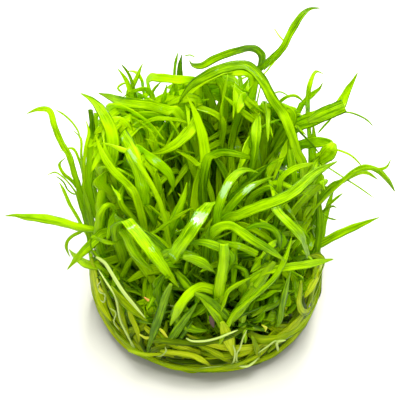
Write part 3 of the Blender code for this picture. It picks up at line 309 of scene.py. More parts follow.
# Colours, from dark to light, with the roughness of the strands
LEAF_COLOURS = ((0.014, 0.054, 0), (0.098, 0.25, 0), (0.31, 0.55, 0), (0.51, 0.78, 0), (0.61, 0.90, 0))
WALL_LEAF_COLOURS = (
    (0.02, 0.045, 0), (0.11, 0.20, 0), (0.30, 0.44, 0), (0.54, 0.66, 0), (0.78, 0.86, 0.03))
FELT_COLOURS = ((0.010, 0.018, 0.001), (0.05, 0.09, 0.002), (0.16, 0.22, 0.01))
STRAND_COLOURS = {
    "pressed": ((0.03, 0.10, 0.0), (0.42, 0.62, 0.01), 0.3),
    "pale": ((0.30, 0.46, 0.05), (0.56, 0.70, 0.16), 0.35),
    "orange_bit": ((0.80, 0.28, 0.02), (0.95, 0.55, 0.10), 0.4),
    "brown_bit": ((0.035, 0.015, 0.010), (0.15, 0.065, 0.045), 0.5),
    "yellow_bit": ((0.42, 0.50, 0.0), (0.80, 0.84, 0.01), 0.4),
}
LEAF_FOOT = (0.38, 0.56, 0.02, 1.0)
LEAF_LIT_THROUGH = (0.56, 0.90, 0.0, 1.0)
LEAF_SHEEN = (0.75, 1.0, 0.10, 1.0)
# The white glare of a film of water, painted into the leaf colour as a highlight
PAINTED_WATER_GLINT = (0.58, 0.84, 0.44, 1.0)

# The studio: paper on the floor, an even sky, and lights with their places, sizes and powers
PAPER = (0.58, 0.57, 0.52, 1.0)
SKY = (1.0, 1.0, 0.94, 1.0)
FLOOR_REACH = 4.0
LIGHTS = {"key": ((0.02, -0.14, 0.95), 0.55, 13.0), "back": ((0.15, 0.75, 0.70), 0.40, 11.0)}
LIT_PLACE = Vector((0.0, 0.0, 0.05))


def sheet_axes():
    """Return the unit vectors to the right, up and away on the sheet."""
    away = (SHEET_CENTRE - EYE).normalized()
    right = away.cross(UP).normalized()
    return right, right.cross(away), away


SHEET_RIGHT, SHEET_UP, SHEET_AWAY = sheet_axes()


def from_sheet(across, down, height):
    """Return the point at a height that is seen at a place on the sheet."""
    place = (SHEET_CENTRE + SHEET_RIGHT * (across - SHEET_SIZE / 2) / SHEET_UNITS_PER_MM
             + SHEET_UP * (SHEET_SIZE / 2 - down) / SHEET_UNITS_PER_MM)
    ray = place - EYE
    return EYE + ray * ((height - EYE.z) / ray.z)


def to_sheet(point):
    """Return the place on the sheet where a point is seen."""
    ray = point - EYE
    scale = (SHEET_CENTRE - EYE).length * SHEET_UNITS_PER_MM / ray.dot(SHEET_AWAY)
    return SHEET_SIZE / 2 + ray.dot(SHEET_RIGHT) * scale, SHEET_SIZE / 2 - ray.dot(SHEET_UP) * scale


def around(radius, angle, height=0.0):
    """Return the point at a distance and an angle round the clump's axis."""
    return Vector((radius * math.cos(angle), radius * math.sin(angle), height))


def is_inside(outline, across, down):
    """Tell whether a place on the sheet is inside an outline."""
    inside = False
    for (x_a, y_a), (x_b, y_b) in zip(outline, outline[1:] + outline[:1]):
        if (y_a > down) != (y_b > down) and across < x_a + (down - y_a) * (x_b - x_a) / (y_b - y_a):
            inside = not inside
    return inside


def is_open(across, down):
    """Tell whether a place on the sheet is outside the clump or in one of its gaps."""
    return not is_inside(OUTLINE, across, down) or any(is_inside(gap, across, down) for gap in GAPS)


def spline(values, position):
    """Return the value at a position, counted in spans, on a smooth curve through values."""
    span = min(int(position), len(values) - 2)
    t = position - span
    v_1, v_2 = values[span], values[span + 1]
    v_0 = values[span - 1] if span else v_1 * 2 - v_2
    v_3 = values[span + 2] if span + 2 < len(values) else v_2 * 2 - v_1
    return (v_1 * 2 + (v_2 - v_0) * t + (v_0 * 2 - v_1 * 5 + v_2 * 4 - v_3) * t ** 2
            + (v_1 * 3 - v_0 - v_2 * 3 + v_3) * t ** 3) * 0.5


class Line:
    """The middle line of a leaf: points, directions across and out of its face, half widths."""

    def __init__(self):
        self.points = []
        self.sides = []
        self.normals = []
        self.halves = []
        self.tone_and_light_marks = []
        self.wet_glint_marks = []
        self.is_blunt = False

    def add(self, point, side, normal, half):
        """Add a point, its directions and its half width."""
        self.points.append(point)
        self.sides.append(side)
        self.normals.append(normal)
        self.halves.append(half)

    def length(self):
        """Return the length of the line."""
        return sum((b - a).length for a, b in zip(self.points, self.points[1:]))

    def wet_glint_at(self, along):
        """Return how thick the film of water, with its painted highlight, is at a share of the length."""
        length = self.length()
        return max([thick * min(1.0, max(0.0, 1.6 - 1.3 * abs(along - place) * length / reach))
                    for place, reach, thick in self.wet_glint_marks], default=0.0)

    def tone_at(self, along, otherwise):
        """Return how light the leaf is at a share of its length, painted light and shade included."""
        if not self.tone_and_light_marks:
            return otherwise
        before = [mark for mark in self.tone_and_light_marks if mark[0] <= along]
        after = [mark for mark in self.tone_and_light_marks if mark[0] > along]
        if not before or not after:
            return (before[-1] if before else after[0])[1]
        (a, tone_a), (b, tone_b) = before[-1], after[0]
        return tone_a + (tone_b - tone_a) * (along - a) / (b - a)

    def finer(self, steps):
        """Return a smooth line with that many steps to each span."""
        fine = Line()
        for i in range((len(self.points) - 1) * steps + 1):
            at = i / steps
            fine.add(spline(self.points, at), spline(self.sides, at).normalized(),
                     spline(self.normals, at).normalized(), max(spline(self.halves, at), 0.0))
        return fine


def line_along(points, halves, facing):
    """Return the line of a leaf or strand through points, its face turned towards facing."""
    line = Line()
    last = len(points) - 1
    for i, point in enumerate(points):
        ahead = (points[min(i + 1, last)] - points[max(i - 1, 0)]).normalized()
        wanted = facing(point)
        normal = (wanted - ahead * wanted.dot(ahead)).normalized()
        line.add(point, normal.cross(ahead).normalized(), normal, halves[i])
    return line


def next_ring(ring, seen):
    """Return the three corners of a leaf solid that come after three others, or None."""
    after = {edge.other_vert(corner) for corner in ring for edge in corner.link_edges} - seen
    if len(after) != 3:
        return None
    a, b, c = sorted(after, key=lambda v: tuple(v.co))
    orders = ((a, b, c), (b, c, a), (c, a, b), (a, c, b), (c, b, a), (b, a, c))
    return min(orders, key=lambda order: sum((p.co - q.co).length for p, q in zip(ring, order)))


def leaf_line(tip):
    """Read the middle line of a leaf solid back from its tip."""
    ring = tuple(sorted((edge.other_vert(tip) for edge in tip.link_edges), key=lambda v: tuple(v.co)))
    seen = {tip}
    rings = []
    while ring:
        rings.append([corner.co / MM for corner in ring])
        seen.update(ring)
        ring = next_ring(ring, seen)
    rings.reverse()
    breadths = [sum((r[(k + 1) % 3] - r[(k + 2) % 3]).length for r in rings) for k in range(3)]
    keel = breadths.index(max(breadths))
    line = Line()
    for ring in rings:
        left, right = ring[(keel + 1) % 3], ring[(keel + 2) % 3]
        side = (left - right).normalized()
        up = (left + right) / 2 - ring[keel]
        normal = (up - side * up.dot(side)).normalized()
        line.add((left + right) / 2 - normal * FACE_DEPTH, side, normal, (left - right).length / 2)
    line.add(tip.co / MM, side, normal, 0.0)
    return line


def read_leaves(node):
    """Return the middle lines of a node's leaves and the middle of its lowest corners."""
    solid = bmesh.new()
    solid.from_mesh(frame["nodes"][node].data)
    bmesh.ops.remove_doubles(solid, verts=solid.verts, dist=SAME_CORNER)
    tips = [v for v in solid.verts if len(v.link_edges) == 3]
    tips.sort(key=lambda v: tuple(round(c, 5) for c in v.co))
    lines = [leaf_line(tip) for tip in tips]
    lowest = min(v.co.z for v in solid.verts)
    foot = [v.co / MM for v in solid.verts if v.co.z < lowest + 0.1 * MM]
    centre = sum(foot, Vector()) / len(foot)
    solid.free()
    return lines, centre


class Growth:
    """A mesh in the making, each corner with its place on the blade and its look."""

    def __init__(self):
        self.corners = []
        self.faces = []
        self.places = []
        self.looks = []
        self.start = 0

    def add_row(self, row, travelled, look, across=None):
        """Add a closed row of corners, joined to the last row of the same stem or blade."""
        count = len(row)
        low = len(self.corners) - count
        if low >= self.start:
            for k in range(count):
                after = (k + 1) % count
                self.faces.append((low + k, low + after, low + count + after, low + count + k))
        self.corners += row
        self.places += [(place, travelled) for place in across or [k / count for k in range(count)]]
        self.looks += [look] * count

    def close(self, count, tip=None):
        """Close the stem or blade that was added in rows of some corners, its end in a tip or flat."""
        self.faces.append(tuple(self.start + k for k in reversed(range(count))))
        last = len(self.corners) - count
        if tip is None:
            self.faces.append(tuple(last + k for k in range(count)))
        else:
            for k in range(count):
                self.faces.append((last + k, last + (k + 1) % count, len(self.corners)))
            self.corners.append(tip)
            self.places.append((0.5, self.places[-1][1]))
            self.looks.append(self.looks[-1])
        self.start = len(self.corners)


def add_blade(growth, line, tone, draw, channel=CHANNEL, steps=BLADE_STEPS, ruffle=RUFFLE):
    """Grow a thin blade along a line: a groove above, a midrib below, and slightly wavy edges."""
    fine = line.finer(steps)
    last = len(fine.points) - 1
    chance = draw.random()
    wave = draw.uniform(0.25, 0.5)
    phase = draw.uniform(*PHASES)
    if line.is_blunt:
        for i in range(last - steps, last + 1):
            fine.halves[i] = fine.halves[last - steps]
    travelled = 0.0
    for i in range(last):
        point, side, normal = fine.points[i], fine.sides[i], fine.normals[i]
        if i:
            travelled += (point - fine.points[i - 1]).length
        along = i / last
        half = fine.halves[i] * (1.0 + EDGE_WAVE * math.sin(travelled * 0.9 + phase))
        opened = min(1.0, along / STALK_SHARE)
        to_tip = (last - i) / steps
        if to_tip < 1.0 and not line.is_blunt:
            half = max(half, fine.halves[last - steps] * 0.95 * to_tip ** 0.6)
        thickness = STALK_THICKNESS + (BLADE_THICKNESS - STALK_THICKNESS) * opened
        thickness = min(thickness, 0.35 + 0.6 * half)
        row = []
        for above, places in ((True, TOP_PLACES), (False, UNDER_PLACES)):
            for u in places:
                lift = channel * half * (abs(u) ** 1.5 - 0.4)
                swing = math.sin(travelled * wave + phase * (2.0 if u > 0 else 1.0))
                lift += ruffle * u * abs(u) * half * opened * swing
                body = thickness * 0.5 * (1.0 - 0.8 * u * u)
                if above:
                    lift += body - (GROOVE if u == 0.0 else 0.0)
                else:
                    lift -= body + (MIDRIB * min(1.0, half) if u == 0.0 else 0.0)
                row.append(point + side * (half * u) + normal * lift)
        look = (line.tone_at(along, tone), along, chance, line.wet_glint_at(along))
        growth.add_row(row, travelled / 10.0, look, [0.5 + 0.5 * u for u in TOP_PLACES + UNDER_PLACES])
    growth.close(len(row), None if line.is_blunt else fine.points[last])


def add_strand(growth, points, radius, tone, draw, flat=0.75, steps=3, sides=7):
    """Grow a round or slightly flattened strand through points, thinner at its ends."""
    line = line_along(points, [radius] * len(points), lambda p: Vector((p.x, p.y, 0.3 * p.z + 1.0)))
    fine = line.finer(steps)
    chance = draw.random()
    last = len(fine.points) - 1
    travelled = 0.0
    for i in range(last + 1):
        if i:
            travelled += (fine.points[i] - fine.points[i - 1]).length
        along = i / last
        swell = 1.0 - 0.75 * abs(2.0 * along - 1.0) ** 5
        row = []
        for k in range(sides):
            angle = TURN * k / sides
            row.append(fine.points[i] + fine.sides[i] * (radius * swell * math.cos(angle))
                       - fine.normals[i] * (radius * flat * swell * math.sin(angle)))
        growth.add_row(row, travelled / 10.0, (tone, along, chance, 0.0))
    growth.close(sides)


def add_object(name, data, place=(0.0, 0.0, 0.0), ahead=None):
    """Add an object to the scene at a place in metres, turned to look in a direction."""
    thing = bpy.data.objects.new(name, data)
    thing.location = place
    if ahead is not None:
        thing.rotation_euler = ahead.to_track_quat("-Z", "Y").to_euler()
    bpy.context.scene.collection.objects.link(thing)
    return thing


def make_piece(name, growth, material, slot, *nodes):
    """Make a piece from a growth, in place of the solids of some nodes."""
    mesh = bpy.data.meshes.new(name)
    corners = [[min(max(place * MM, low), high) for place, low, high in zip(corner, ROOM_LOW, ROOM_HIGH)]
               for corner in growth.corners]
    mesh.from_pydata(corners, [], growth.faces)
    mesh.update()
    places = mesh.uv_layers.new(name="places")
    looks = mesh.color_attributes.new("look", "FLOAT_COLOR", "POINT")
    for loop in mesh.loops:
        places.data[loop.index].uv = growth.places[loop.vertex_index]
    for i, look in enumerate(growth.looks):
        looks.data[i].color = look
    for polygon in mesh.polygons:
        polygon.use_smooth = True
    mesh.materials.append(material)
    piece = add_object(name, mesh)
    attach(piece, "root")
    if nodes:
        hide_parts(*nodes)


class Nodes:
    """A short way to write a material's nodes."""

    def __init__(self, name):
        self.material = bpy.data.materials.new(name)
        self.material.use_nodes = True
        self.tree = self.material.node_tree
        self.shader = self.tree.nodes["Principled BSDF"]
        self.output = self.tree.nodes["Material Output"]

    def plug(self, node, values):
        """Put numbers, colours or other nodes' outputs into a node's sockets, and return its outputs."""
        for key, value in values.items():
            if isinstance(value, bpy.types.NodeSocket):
                self.tree.links.new(value, node.inputs[key])
            else:
                node.inputs[key].default_value = value
        return node.outputs

    def add(self, kind, values, **settings):
        """Add a node with its settings, fill its sockets and return its outputs."""
        node = self.tree.nodes.new(kind)
        for key, value in settings.items():
            setattr(node, key, value)
        return self.plug(node, values)

    def math(self, operation, *values, clamp=False):
        """Return the result of a sum."""
        return self.add("ShaderNodeMath", dict(enumerate(values)), operation=operation, use_clamp=clamp)[0]

    def vary(self, value, noise, reach, clamp=False):
        """Return a value that a noise moves up and down by half a reach."""
        return self.math("MULTIPLY_ADD", self.math("SUBTRACT", noise, 0.5), reach, value, clamp=clamp)

    def above(self, value, start, slope):
        """Return how far a value is above a start, times a slope, between 0 and 1."""
        return self.math("MULTIPLY", self.math("SUBTRACT", value, start), slope, clamp=True)

    def vector(self, *parts):
        """Return three values as one vector."""
        return self.add("ShaderNodeCombineXYZ", dict(enumerate(parts)))[0]

    def mix(self, factor, a, b):
        """Return a blend of two colours."""
        return self.add("ShaderNodeMix", {0: factor, 6: a, 7: b}, data_type="RGBA")[2]

    def ramp(self, factor, colours, low=0.0, high=1.0):
        """Return the colour at a value on a ramp of evenly spaced colours."""
        node = self.tree.nodes.new("ShaderNodeValToRGB")
        elements = node.color_ramp.elements
        while len(elements) < len(colours):
            elements.new(0.5)
        for i, colour in enumerate(colours):
            elements[i].position = low + (high - low) * i / (len(colours) - 1)
            elements[i].color = (*colour, 1.0)
        return self.plug(node, {0: factor})[0]

    def noise(self, vector, scale, detail, roughness):
        """Return a smooth noise between 0 and 1."""
        values = {"Vector": vector, "Scale": scale, "Detail": detail, "Roughness": roughness}
        return self.add("ShaderNodeTexNoise", values)[0]

    def look(self):
        """Return the corner look: tone (with painted light and shade on the leaves), share of the blade's
        length, a chance value, and the water film with its painted highlight.
        """
        attribute = self.add("ShaderNodeAttribute", {}, attribute_name="look")
        parts = self.add("ShaderNodeSeparateColor", {0: attribute["Color"]})
        return *parts, attribute["Alpha"]

    def place(self):
        """Return the place across (0 to 1) and along (centimetres) the blade."""
        places = self.add("ShaderNodeUVMap", {}, uv_map="places")
        return self.add("ShaderNodeSeparateXYZ", {0: places[0]})[:2]

    def position(self):
        """Return the place in space, in metres."""
        return self.add("ShaderNodeNewGeometry", {})["Position"]

    def bump(self, height, strength, distance):
        """Dent the surface by a height, and return its new direction."""
        values = {"Height": height, "Strength": strength, "Distance": distance}
        normal = self.add("ShaderNodeBump", values)[0]
        self.plug(self.shader, {"Normal": normal})
        return normal

    def let_light_through(self, colour, share, normal):
        """Let a share of the light through the surface, in a colour."""
        through = self.add("ShaderNodeBsdfTranslucent", {"Color": colour, "Normal": normal})[0]
        both = self.add("ShaderNodeMixShader", {0: share, 1: self.shader.outputs[0], 2: through})[0]
        self.plug(self.output, {"Surface": both})


def leaf_material(name, shine, colours):
    """Return the look of a leaf: lengthwise veins, a pale foot, mottling, and films of water that are
    glossy and whiten the colour as a painted highlight.
    """
    n = Nodes(name)
    tone, along, chance, wet_glint = n.look()
    across, travelled = n.place()
    offset = n.math("MULTIPLY", chance, 40.0)
    spot = n.vector(n.math("MULTIPLY", across, 2.4), n.math("ADD", travelled, offset), offset)
    mottle = n.noise(spot, 1.7, 5.0, 0.62)
    stretched = n.vector(n.math("MULTIPLY", across, 9.0), n.math("MULTIPLY", travelled, 0.5), offset)
    fibres = n.noise(stretched, 1.0, 4.0, 0.65)
    bent = n.math("ADD", across, n.math("MULTIPLY", n.math("SUBTRACT", mottle, 0.5), 0.05))
    veins = n.math("SINE", n.math("MULTIPLY", bent, TURN * VEINS))
    middle = n.math("ABSOLUTE", n.math("SUBTRACT", across, 0.5))
    midrib = n.math("SUBTRACT", 1.0, n.math("MULTIPLY", middle, 12.0), clamp=True)
    edge = n.above(middle, 0.40, 10.0)
    level = n.vary(n.vary(tone, mottle, MOTTLING), fibres, FIBRES)
    level = n.math("MULTIPLY_ADD", veins, 0.05, level)
    level = n.math("MULTIPLY_ADD", edge, -0.20, level)
    level = n.math("MULTIPLY_ADD", midrib, 0.09, level, clamp=True)
    green = n.ramp(level, colours)
    foot = n.math("POWER", n.math("SUBTRACT", 1.0, along, clamp=True), 6.0)
    green = n.mix(n.math("MULTIPLY", foot, 0.55), green, LEAF_FOOT)
    ragged = n.noise(spot, 3.2, 4.0, 0.7)
    film_and_glint = n.vary(n.math("MULTIPLY_ADD", n.math("POWER", middle, 2.0), -3.0, wet_glint), ragged, 2.6)
    film_and_glint = n.math("MULTIPLY", n.above(film_and_glint, 0.62, 5.0), n.math("MULTIPLY", wet_glint, 3.0, clamp=True))
    glaze = n.above(n.noise(spot, 1.1, 2.0, 0.5), 0.58, 9.0)
    # Painted highlight: where the film lies, the base colour is whitened as the water's glare would whiten
    # it
    green = n.mix(n.math("MULTIPLY", film_and_glint, 0.80), green, PAINTED_WATER_GLINT)
    n.plug(n.shader, {
        "Base Color": green,
        "Roughness": n.math("MULTIPLY_ADD", mottle, 0.30, 0.22),
        "Specular IOR Level": shine,
        "Specular Tint": LEAF_SHEEN,
        "Coat Weight": n.math("MAXIMUM", film_and_glint, n.math("MULTIPLY", glaze, 0.3)),
        "Coat Roughness": 0.06})
    relief = n.math("MULTIPLY_ADD", veins, 0.35, n.math("MULTIPLY", fibres, 1.5))
    normal = n.bump(relief, 0.7, 0.14 * MM)
    n.let_light_through(n.mix(0.5, green, LEAF_LIT_THROUGH), 0.45, normal)
    return n.material


def strand_material(name):
    """Return the look of a wet runner, root, pressed leaf or bit, streaked along its length."""
    dark, light, roughness = STRAND_COLOURS[name]
    n = Nodes(name)
    tone, _, chance, _ = n.look()
    across, travelled = n.place()
    spot = n.vector(n.math("MULTIPLY", across, 9.0), n.math("MULTIPLY", travelled, 1.1),
                    n.math("MULTIPLY", chance, 30.0))
    streaks = n.noise(spot, 1.0, 3.0, 0.65)
    spots = n.noise(n.position(), 420.0, 4.0, 0.6)
    level = n.vary(n.vary(tone, streaks, 0.7), spots, 0.3, clamp=True)
    colour = n.mix(level, (*dark, 1.0), (*light, 1.0))
    n.plug(n.shader, {
        "Base Color": colour,
        "Roughness": n.math("MULTIPLY_ADD", streaks, 0.25, roughness),
        "Coat Weight": 0.15,
        "Coat Roughness": 0.15})
    normal = n.bump(n.math("ADD", streaks, spots), 0.5, 0.2 * MM)
    n.let_light_through(colour, 0.25, normal)
    return n.material


def felt_material():
    """Return the look of the dark felt between the strands of the root mat."""
    n = Nodes("felt")
    place = n.position()
    lumps = n.noise(place, 260.0, 5.0, 0.65)
    fine = n.noise(place, 1400.0, 3.0, 0.6)
    level = n.math("MULTIPLY_ADD", fine, 0.35, n.math("MULTIPLY", lumps, 0.75))
    n.plug(n.shader, {
        "Base Color": n.ramp(level, FELT_COLOURS, 0.3, 0.8),
        "Roughness": n.math("MULTIPLY_ADD", lumps, 0.3, 0.45)})
    n.bump(level, 0.8, 0.6 * MM)
    return n.material


def mat_radius(height):
    """Return how far out the cup's wall was at a height."""
    if height < MAT_CORNER_HEIGHT:
        rise = 1.0 - height / MAT_CORNER_HEIGHT
        return MAT_FLOOR_RADIUS + (MAT_RADIUS - MAT_FLOOR_RADIUS) * math.sqrt(max(0.0, 1.0 - rise * rise))
    return MAT_RADIUS + WALL_FLARE * (1.0 - math.exp((MAT_CORNER_HEIGHT - height) / WALL_FLARE_HEIGHT))


def at_wall(angle, height, inset):
    """Return the point at a height that is inset from the cup's wall."""
    return around(mat_radius(height) - inset, angle, height)


def either_way(draw, least, most):
    """Return a random amount between two values, to one side or the other."""
    return draw.choice((-1.0, 1.0)) * draw.uniform(least, most)


def tapered(half, count, loss):
    """Return half widths that are largest in the middle and end in a point."""
    return [half * (1.0 - loss * abs(2 * k / (count - 1) - 1) ** 3) for k in range(count - 1)] + [0.0]


def felt_growth():
    """Return the core of the root mat: a lumpy disc inside the strands."""
    growth = Growth()
    draw = random.Random(SEED + 1)
    phases = [draw.uniform(*PHASES) for _ in range(8)]
    for level in range(FELT_LEVELS + 1):
        t = level / FELT_LEVELS
        if t < FELT_SIDE:
            height = 0.25 + (MAT_HEIGHT - 1.2) * (t / FELT_SIDE) ** 1.4
            radius = mat_radius(height) - FELT_INSET
        else:
            height = MAT_HEIGHT - 0.95
            radius = (mat_radius(MAT_HEIGHT) - FELT_INSET) * (1.0 - (t - FELT_SIDE) / (1.0 - FELT_SIDE))
        row = []
        for k in range(FELT_SECTORS):
            angle = TURN * k / FELT_SECTORS
            waves = [math.sin((j + 3) * angle + phase + t * (j + 2) * 3) for j, phase in enumerate(phases)]
            lump = sum(waves) * FELT_LUMP
            reach = max(radius + (lump if radius > 6 else 0.0), 0.4)
            rise = 0.5 * lump if t >= 0.5 else 0.0
            row.append(around(reach, angle, height + rise))
        growth.add_row(row, t, (0.3, t, 0.5, 0.5))
    growth.close(FELT_SECTORS)
    return growth


def wall_points(draw, sweep, low, climb, inset, start):
    """Return points along the cup's wall, from a height, over a sweep of angle."""
    sway = draw.uniform(-0.9, 0.9)
    points = []
    for k in range(WALL_POINTS):
        t = k / (WALL_POINTS - 1)
        height = max(low * 0.6 + 0.5, low + climb * t + sway * math.sin(math.pi * 1.5 * t))
        points.append(at_wall(start + sweep * t, height, inset + 1.2 * abs(2 * t - 1) ** 3))
    return points


def add_wall_blades(growth, draw):
    """Grow the leaves that the cup's wall pressed flat round the root mat."""
    for i in range(WALL_BLADES):
        low = 2.4 + 17.0 * draw.random() ** 1.3
        climb = draw.uniform(-6.0, 13.0) if low > 8.0 else draw.uniform(0.0, 9.0)
        sweep = either_way(draw, 0.30, 0.85)
        inset = draw.uniform(0.5, 4.5) + (0.6 if low < 6.0 else 0.0)
        points = wall_points(draw, sweep, low, climb, inset, draw.uniform(0.0, TURN))
        half = min(draw.uniform(0.9, 2.5), low * 0.6 - 0.2)
        line = line_along(points, tapered(half, WALL_POINTS, 0.85), lambda p: Vector((p.x, p.y, 6.0)))
        add_blade(growth, line, draw.uniform(*MAT_TONES[i % 4]), draw, -0.1, 4, 0.06)


def add_wall_strands(growth, draw):
    """Grow the runners that the cup's wall pressed round the root mat."""
    for _ in range(WALL_STRANDS):
        low = 2.0 + 14.0 * draw.random() ** 1.3
        sweep = either_way(draw, 0.25, 1.2)
        start = draw.uniform(0.0, TURN)
        points = wall_points(draw, sweep, low, draw.uniform(-1.0, 8.0), 1.2, start)
        add_strand(growth, points, draw.uniform(0.35, 0.7), draw.uniform(0.35, 0.85), draw)


def add_rising_blades(growth, draw):
    """Grow the leaves that rise along the cup's wall out of the root mat."""
    for i in range(RISING_BLADES):
        angle = draw.uniform(0.0, TURN)
        low = draw.uniform(4.0, 12.0)
        rise = draw.uniform(12.0, 30.0)
        slant = draw.uniform(-0.5, 0.5)
        inset = draw.uniform(0.4, 5.0)
        lean = draw.uniform(0.0, 4.0)
        points = [at_wall(angle + slant * t + 0.03 * math.sin(9 * t), low + rise * t, inset + lean * t ** 3)
                  for t in (0.0, 0.2, 0.4, 0.6, 0.8, 1.0)]
        half = draw.uniform(0.7, 2.0)
        halves = [half * (0.7 + 0.3 * math.sin(math.pi * k / 5)) for k in range(5)] + [0.0]
        line = line_along(points, halves, lambda p: Vector((p.x, p.y, 0.0)))
        add_blade(growth, line, draw.uniform(*MAT_TONES[i % 4]), draw, -0.2, 4, 0.06)


def flat_strand_growth(draw):
    """Return the roots and runners that lie over the top and the underside of the root mat."""
    growth = Growth()
    for i in range(FLOOR_STRANDS + TOP_STRANDS):
        under = i < FLOOR_STRANDS
        reach = (MAT_FLOOR_RADIUS - 1.0) if under else (MAT_RADIUS - 4.0)
        radius = reach * math.sqrt(draw.random())
        angle = draw.uniform(0.0, TURN)
        heading = angle + either_way(draw, 0.9, 1.7)
        bend = draw.uniform(-0.12, 0.12)
        place = around(radius, angle)
        thick = draw.uniform(0.35, 0.75)
        height = thick + draw.uniform(0.12, 0.9) if under else MAT_HEIGHT + draw.uniform(-0.4, 1.4)
        points = []
        for _ in range(7):
            inside = min(1.0, (reach + 0.6) / max(place.length, 0.1))
            lift = 0.0 if under else draw.uniform(-0.5, 0.8)
            points.append(Vector((place.x * inside, place.y * inside, height + lift)))
            place = place + around(1.0, heading) * draw.uniform(3.0, 5.5)
            heading += bend + draw.uniform(-0.25, 0.25)
        add_strand(growth, points, thick, draw.uniform(0.3, 0.9), draw, 0.8, 3, 6)
    return growth


class Canopy:
    """The leaves as the viewer sees them: which one is in front at each place of the sheet."""

    def __init__(self, lines):
        self.corners = []
        self.faces = []
        self.owners = []
        for line in lines:
            self.add(line)
        self.settle()

    def add(self, line):
        """Add a leaf as a flat ribbon."""
        fine = line.finer(3)
        start = len(self.corners)
        for point, side, half in zip(fine.points, fine.sides, fine.halves):
            self.corners += [point + side * half, point - side * half]
        for i in range(len(fine.points) - 1):
            a = start + 2 * i
            self.faces.append((a, a + 1, a + 3, a + 2))
            self.owners.append(line)

    def settle(self):
        """Make the leaves added so far searchable."""
        self.tree = BVHTree.FromPolygons(self.corners, self.faces)

    def seen_at(self, target):
        """Return the leaf that is seen where a point is, and how far it is from the viewer."""
        _, _, face, distance = self.tree.ray_cast(EYE, (target - EYE).normalized())
        return (None, math.inf) if face is None else (self.owners[face], distance)


def leaf_seen(canopy, across, down):
    """Return the leaf that is seen at a place on the sheet, and the share of its length there."""
    line = canopy.seen_at(from_sheet(across, down, 0.0))[0]
    if line is None:
        return None, 0.0
    last = len(line.points) - 1
    return line, min((math.dist(to_sheet(spline(line.points, i / 4)), (across, down)), i / (4 * last))
                     for i in range(4 * last + 1))[1]


def mark_leaves(canopy):
    """Mark the leaves that are seen at the listed places with their tones, which carry painted light and
    shade, and with films of water, which carry a painted highlight.
    """
    for across, down, tone in LEAF_TONES_AND_PAINTED_LIGHT:
        line, along = leaf_seen(canopy, across, down)
        if line is not None:
            line.tone_and_light_marks = sorted(line.tone_and_light_marks + [(along, tone / 100)])
    for across, down, reach, thick in WET_GLINT_PLACES:
        line, along = leaf_seen(canopy, across, down)
        if line is not None:
            line.wet_glint_marks.append((along, reach, thick))


def tone_and_light_near(point):
    """Return how light the leaves are round where a point is seen: their tone with painted light and shade,
    and painted light that grows towards the top of the sheet.
    """
    across, down = to_sheet(point)
    total, weights = 0.0, 0.0
    for x, y, tone in LEAF_TONES_AND_PAINTED_LIGHT:
        weight = 1.0 / ((x - across) ** 2 + (y - down) ** 2 + TONE_REACH_SQUARED)
        total += tone / 100 * weight
        weights += weight
    # Painted light: leaves seen higher on the sheet are made lighter
    return total / weights + (SHEET_SIZE / 2 - down) * PAINTED_LIGHT_RISE + TONE_BASE


def drawn_points(heights, trace):
    """Return the points of a trace on the sheet, its heights spread evenly from end to end."""
    return [from_sheet(across, down, spline(heights, i / (len(trace) - 1) * (len(heights) - 1)))
            for i, (across, down) in enumerate(trace)]


def point_on_wall(across, down, inset, height):
    """Return the highest point, from a height down, that is seen at a place and is inside the wall."""
    point = from_sheet(across, down, height)
    while height > WALL_LOW and point.to_2d().length > mat_radius(height) - inset:
        height -= WALL_STEP
        point = from_sheet(across, down, height)
    return point


def facing_viewer(point):
    """Return the direction from a point to the viewer."""
    return EYE - point


def facing_outwards(point):
    """Return the direction out of the root mat at a point, turned up and towards the front."""
    return Vector((point.x, point.y - 20.0, 30.0))


def drawn_things():
    """Return the kind, width, tone, points and facing of every drawn thing."""
    things = []
    for kind, width, tone, heights, *trace in DRAWN_THINGS.values():
        things.append((kind, width, tone, drawn_points(heights, trace), facing_viewer))
    for kind, width, tone, inset, *trace in WALL_THINGS.values():
        top = LEAF_TOP if kind == "leaf" else WALL_TOP
        points = [point_on_wall(across, down, inset, top) for across, down in trace]
        things.append((kind, width, tone, points, facing_outwards))
    return things


def add_drawn_things(draw, growths):
    """Grow the drawn things, each kind in its own growth."""
    for kind, width, tone, points, facing in drawn_things():
        if kind in ("hair", "root"):
            add_strand(growths[kind], points, width / 2, tone, draw, 0.9, 5, 8)
        else:
            line = line_along(points, tapered(width / 2, len(points), 0.6), facing)
            line.is_blunt = kind == "torn"
            add_blade(growths[kind], line, tone, draw, -0.1, 7, 0.1)


def filling_leaf_line(draw, target, crowns):
    """Return the line of a leaf that rises from a rosette, passes a point and bends over."""
    home = Vector((target.x, target.y, 0.0)) * draw.uniform(0.72, 0.95)
    crown = min(crowns, key=lambda c: (c.to_2d() - home.to_2d()).length)
    turn = draw.uniform(0.0, TURN)
    foot = crown + around(2.0, turn)
    lean = Vector((target.x - foot.x, target.y - foot.y, 0.0))
    heading = (around(1.0, turn) + lean * 0.05).normalized()
    reach = draw.uniform(8.0, 30.0)
    drop = draw.uniform(-0.5, 0.9)
    points = [foot, foot + lean * 0.12 + UP * (target.z - foot.z) * 0.35,
              foot + lean * 0.5 + UP * (target.z - foot.z) * 0.75, target]
    points.append(target + heading * reach * 0.5 + UP * reach * (0.32 - 0.3 * drop))
    points.append(target + heading * reach + UP * reach * (0.45 - 0.9 * drop))
    half = draw.uniform(1.2, 2.6)
    halves = [0.6, 0.8, half * 0.9, half, half * 0.9, 0.0]
    face = around(1.0, turn + 1.5, draw.uniform(0.2, 1.6))
    return line_along(points, halves, lambda p: face), crown


